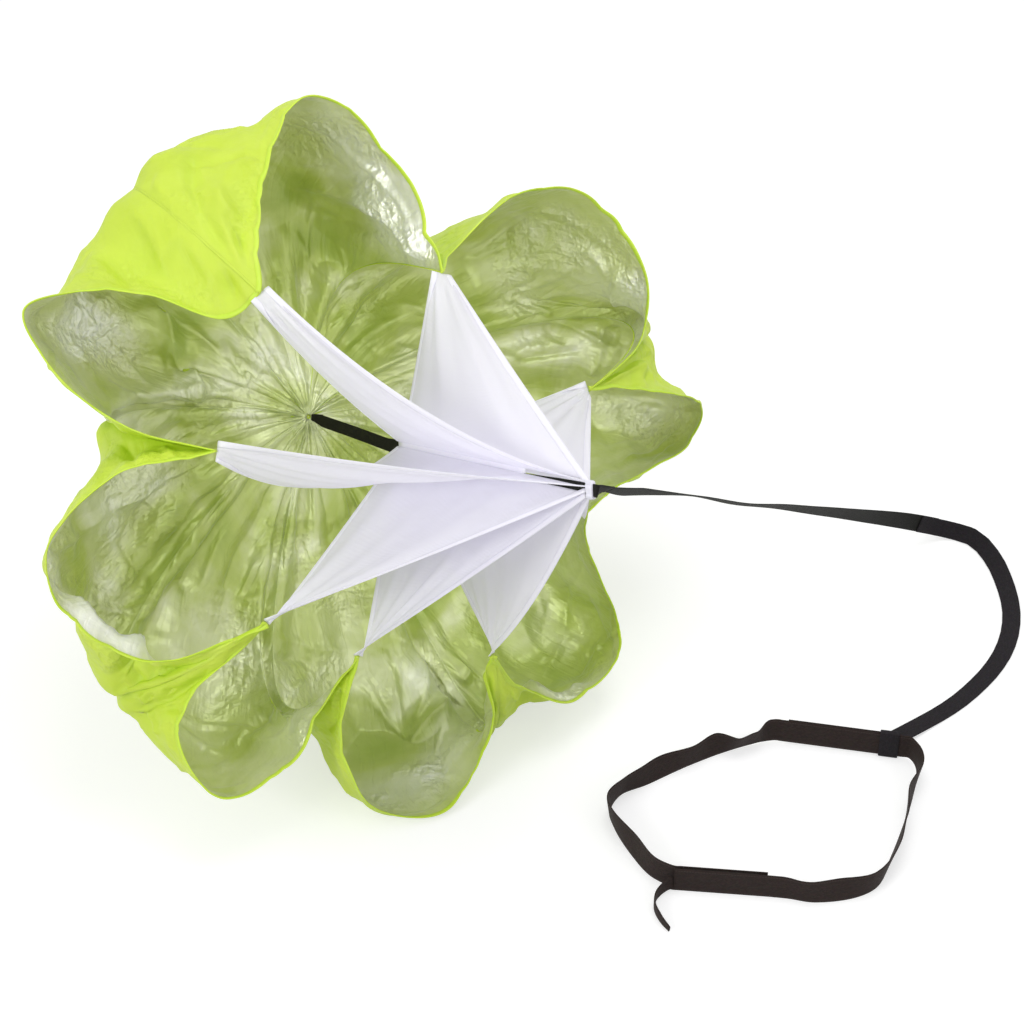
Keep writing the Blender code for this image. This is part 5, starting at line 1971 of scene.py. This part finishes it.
    def build_tapes(self, finishes: Finishes) -> None:
        """Build the hook tape and the loop tape in the overlap.

        Args:
            finishes: The materials.
        """
        low, high, along, inward = self.line(self.plan(self.overlap_shares))
        margin = (self.width - self.tape_width) / 2
        step = (self.tape_thickness + self.gap) / 2
        for name, side in (("loop_tape", 1.0), ("hook_tape", -1.0)):
            shift = inward * (side * step) + UP * margin
            ends = np.stack((low + along * self.tape_inset + shift,
                             high - along * self.tape_inset + shift))
            tape = self.stand(name + "_pile", even_steps(ends, self.end_steps), self.tape_width,
                              self.tape_thickness)
            finish_piece(tape, (finishes.pile,), Body.BELT)
            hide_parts(name)

    def build_tail(self, finishes: Finishes) -> None:
        """Build the band's loose end, which narrows as it curls over.

        Args:
            finishes: The materials.
        """
        low, _, along, inward = self.line(self.plan(self.overlap_shares))
        start = low - inward * self.layer() - along * (2 * self.gap)
        knee = start - along * (self.inset / 2)
        path = smooth_path(np.vstack((start, knee, self.plan(self.tail_shares))), self.end_steps)
        places = np.linspace(0.0, 1.0, len(path))
        shares = np.interp(places, np.linspace(0.0, 1.0, len(self.tail_width_shares)),
                           self.tail_width_shares)
        tail = self.stand("belt_tail_webbing", path, self.width * shares, self.thickness)
        finish_piece(tail, (finishes.brown,), Body.BELT)
        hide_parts("belt_tail")

    def build_loop(self, finishes: Finishes) -> None:
        """Build the webbing loop round the belt's doubled back.

        Args:
            finishes: The materials.
        """
        _, right, along, outward = self.line(self.plan(self.back_shares))
        middle = right - along * self.loop_inset
        half = self.strap_thickness / 2
        near = -(self.thickness / 2 + self.loose_gap + half)
        far = 1.5 * self.thickness + self.gap + self.loose_gap + half
        bottom = self.gap + half
        lap = bottom + self.strap_thickness + self.gap
        top = self.lift() + self.width + self.loose_gap + half
        profile = np.array(((self.neck_length, lap), (far, lap), (far, top), (near, top),
                            (near, bottom), (self.neck_length, bottom)))
        corners = outward * profile[:, :1] + UP * profile[:, 1:] + middle
        path = self.rounded(corners, self.strap_thickness)
        across = np.broadcast_to(along, path.shape)
        loop = webbing_object("tow_loop_webbing", path, across, self.strap_width,
                              self.strap_thickness)
        finish_piece(loop, (finishes.plum,), Body.TOW_LOOP)
        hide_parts("tow_loop")

    @staticmethod
    def rounded(points: Array, radius: float, steps: int = 8) -> Array:
        """Return a line through points with each inner corner rounded.

        A corner is the quadratic Bezier curve between two points a radius away
        from it, with the corner as its middle point.

        Args:
            points: The line's points.
            radius: Distance from a corner to where its curve starts.
            steps: Steps in each curve.

        Returns:
            The points of the rounded line.
        """
        corner = points[1:-1]
        start = corner + unit(points[:-2] - corner) * radius
        end = corner + unit(points[2:] - corner) * radius
        share = np.linspace(0.0, 1.0, steps + 1)[None, :, None]
        rest = 1.0 - share
        arcs = (rest * rest * start[:, None] + 2 * rest * share * corner[:, None]
                + share * share * end[:, None])
        return np.vstack((points[:1], arcs.reshape(-1, 3), points[-1:]))


# Studio


@dataclass(frozen=True)
class Softbox:
    """A square studio lamp."""

    name: str
    place: Point
    size: float
    power: float

    def build(self, aim: Vector) -> None:
        """Add the lamp, pointed at a place.

        Args:
            aim: The place.
        """
        data = bpy.data.lights.new(self.name, "AREA")
        data.shape = "SQUARE"
        data.size = self.size
        data.energy = self.power
        lamp = bpy.data.objects.new(self.name, data)
        lamp.location = self.place
        lamp.rotation_euler = (aim - Vector(self.place)).to_track_quat("-Z", "Y").to_euler()
        bpy.context.scene.collection.objects.link(lamp)


@dataclass
class Studio:
    """The camera at the photograph's view, a pale floor and soft light."""

    camera_place: Point = (0.0211, -2.5145, 2.4538)
    camera_tilt_deg: float = 50.0
    lens_mm: float = 93.75
    sensor_mm: float = 36.0
    floor_half: float = 14.0
    floor_drop: float = 0.0004
    floor_grey: float = 0.60
    floor_glow: float = 0.55
    world_light: float = 0.58
    aim: Point = (0.0, 0.0, 0.35)
    softboxes: tuple[Softbox, ...] = (
        Softbox("top_softbox", (0.3, 0.1, 3.2), 1.6, 29.0),
        Softbox("right_softbox", (2.6, -1.6, 2.0), 1.2, 12.0),
        Softbox("front_softbox", (-2.3, -2.1, 1.9), 1.4, 38.0),
    )

    def place_camera(self) -> None:
        """Place the camera and make it the scene's."""
        data = bpy.data.cameras.new("view_camera")
        data.lens = self.lens_mm
        data.sensor_width = self.sensor_mm
        camera = bpy.data.objects.new("view_camera", data)
        camera.location = self.camera_place
        camera.rotation_euler = (math.radians(self.camera_tilt_deg), 0.0, 0.0)
        bpy.context.scene.collection.objects.link(camera)
        bpy.context.scene.camera = camera

    @staticmethod
    def seen_rays(tree: NodeTree) -> NodeSocket:
        """Return 1 for rays that the camera, a gloss or a sheer cloth sends out.

        Args:
            tree: The node tree.

        Returns:
            The socket that says so.
        """
        path = add_node(tree, "ShaderNodeLightPath")
        seen = add_node(tree, "ShaderNodeMath", {"operation": "MAXIMUM"},
                        {0: path.outputs["Is Camera Ray"], 1: path.outputs["Is Glossy Ray"]})
        seen = add_node(tree, "ShaderNodeMath", {"operation": "MAXIMUM"},
                        {0: seen.outputs[0], 1: path.outputs["Is Transmission Ray"]})
        return seen.outputs[0]

    def add_floor(self) -> None:
        """Add a wide pale floor that camera and mirror rays see near white."""
        signs = np.array(((-1, -1, 0), (1, -1, 0), (1, 1, 0), (-1, 1, 0)))
        corners = self.floor_half * signs - UP * self.floor_drop
        floor = mesh_object("floor", corners, [[0, 1, 2, 3]], corners[:, :2])
        material, tree, shader = new_material("pale_floor")
        glow = add_node(tree, "ShaderNodeMath", {"operation": "MULTIPLY", 1: self.floor_glow},
                        {0: self.seen_rays(tree)})
        set_node(tree, shader, {
            "Base Color": (self.floor_grey,) * 3 + (1.0,), "Roughness": 0.9,
            "Specular IOR Level": 0.0, "Emission Color": (1.0, 1.0, 1.0, 1.0)},
            {"Emission Strength": glow.outputs[0]})
        floor.data.materials.append(material)

    def light(self) -> None:
        """Light the scene with a white world and three softboxes."""
        world = bpy.data.worlds.new("studio_world")
        world.use_nodes = True
        tree = world.node_tree
        strength = add_node(tree, "ShaderNodeMapRange", {"To Min": self.world_light, "To Max": 1.0},
                            {"Value": self.seen_rays(tree)})
        set_node(tree, tree.nodes["Background"], {"Color": (1.0, 1.0, 1.0, 1.0)},
                 {"Strength": strength.outputs["Result"]})
        bpy.context.scene.world = world
        for softbox in self.softboxes:
            softbox.build(Vector(self.aim))
        bpy.context.scene.view_settings.view_transform = "Standard"


def main() -> None:
    """Build the studio and every sub-assembly in order."""
    logging.basicConfig(level=logging.INFO, format="%(message)s")
    studio = Studio()
    studio.place_camera()
    finishes = Finishes()
    tow = TowLine()
    tow.build(finishes)
    canopy = Canopy()
    canopy.build(finishes)
    strap = AxisStrap(canopy, tow)
    strap.build(finishes)
    Fins(canopy, strap).build(finishes)
    WaistBelt().build(finishes)
    studio.add_floor()
    studio.light()


if __name__ == "__main__":
    main()
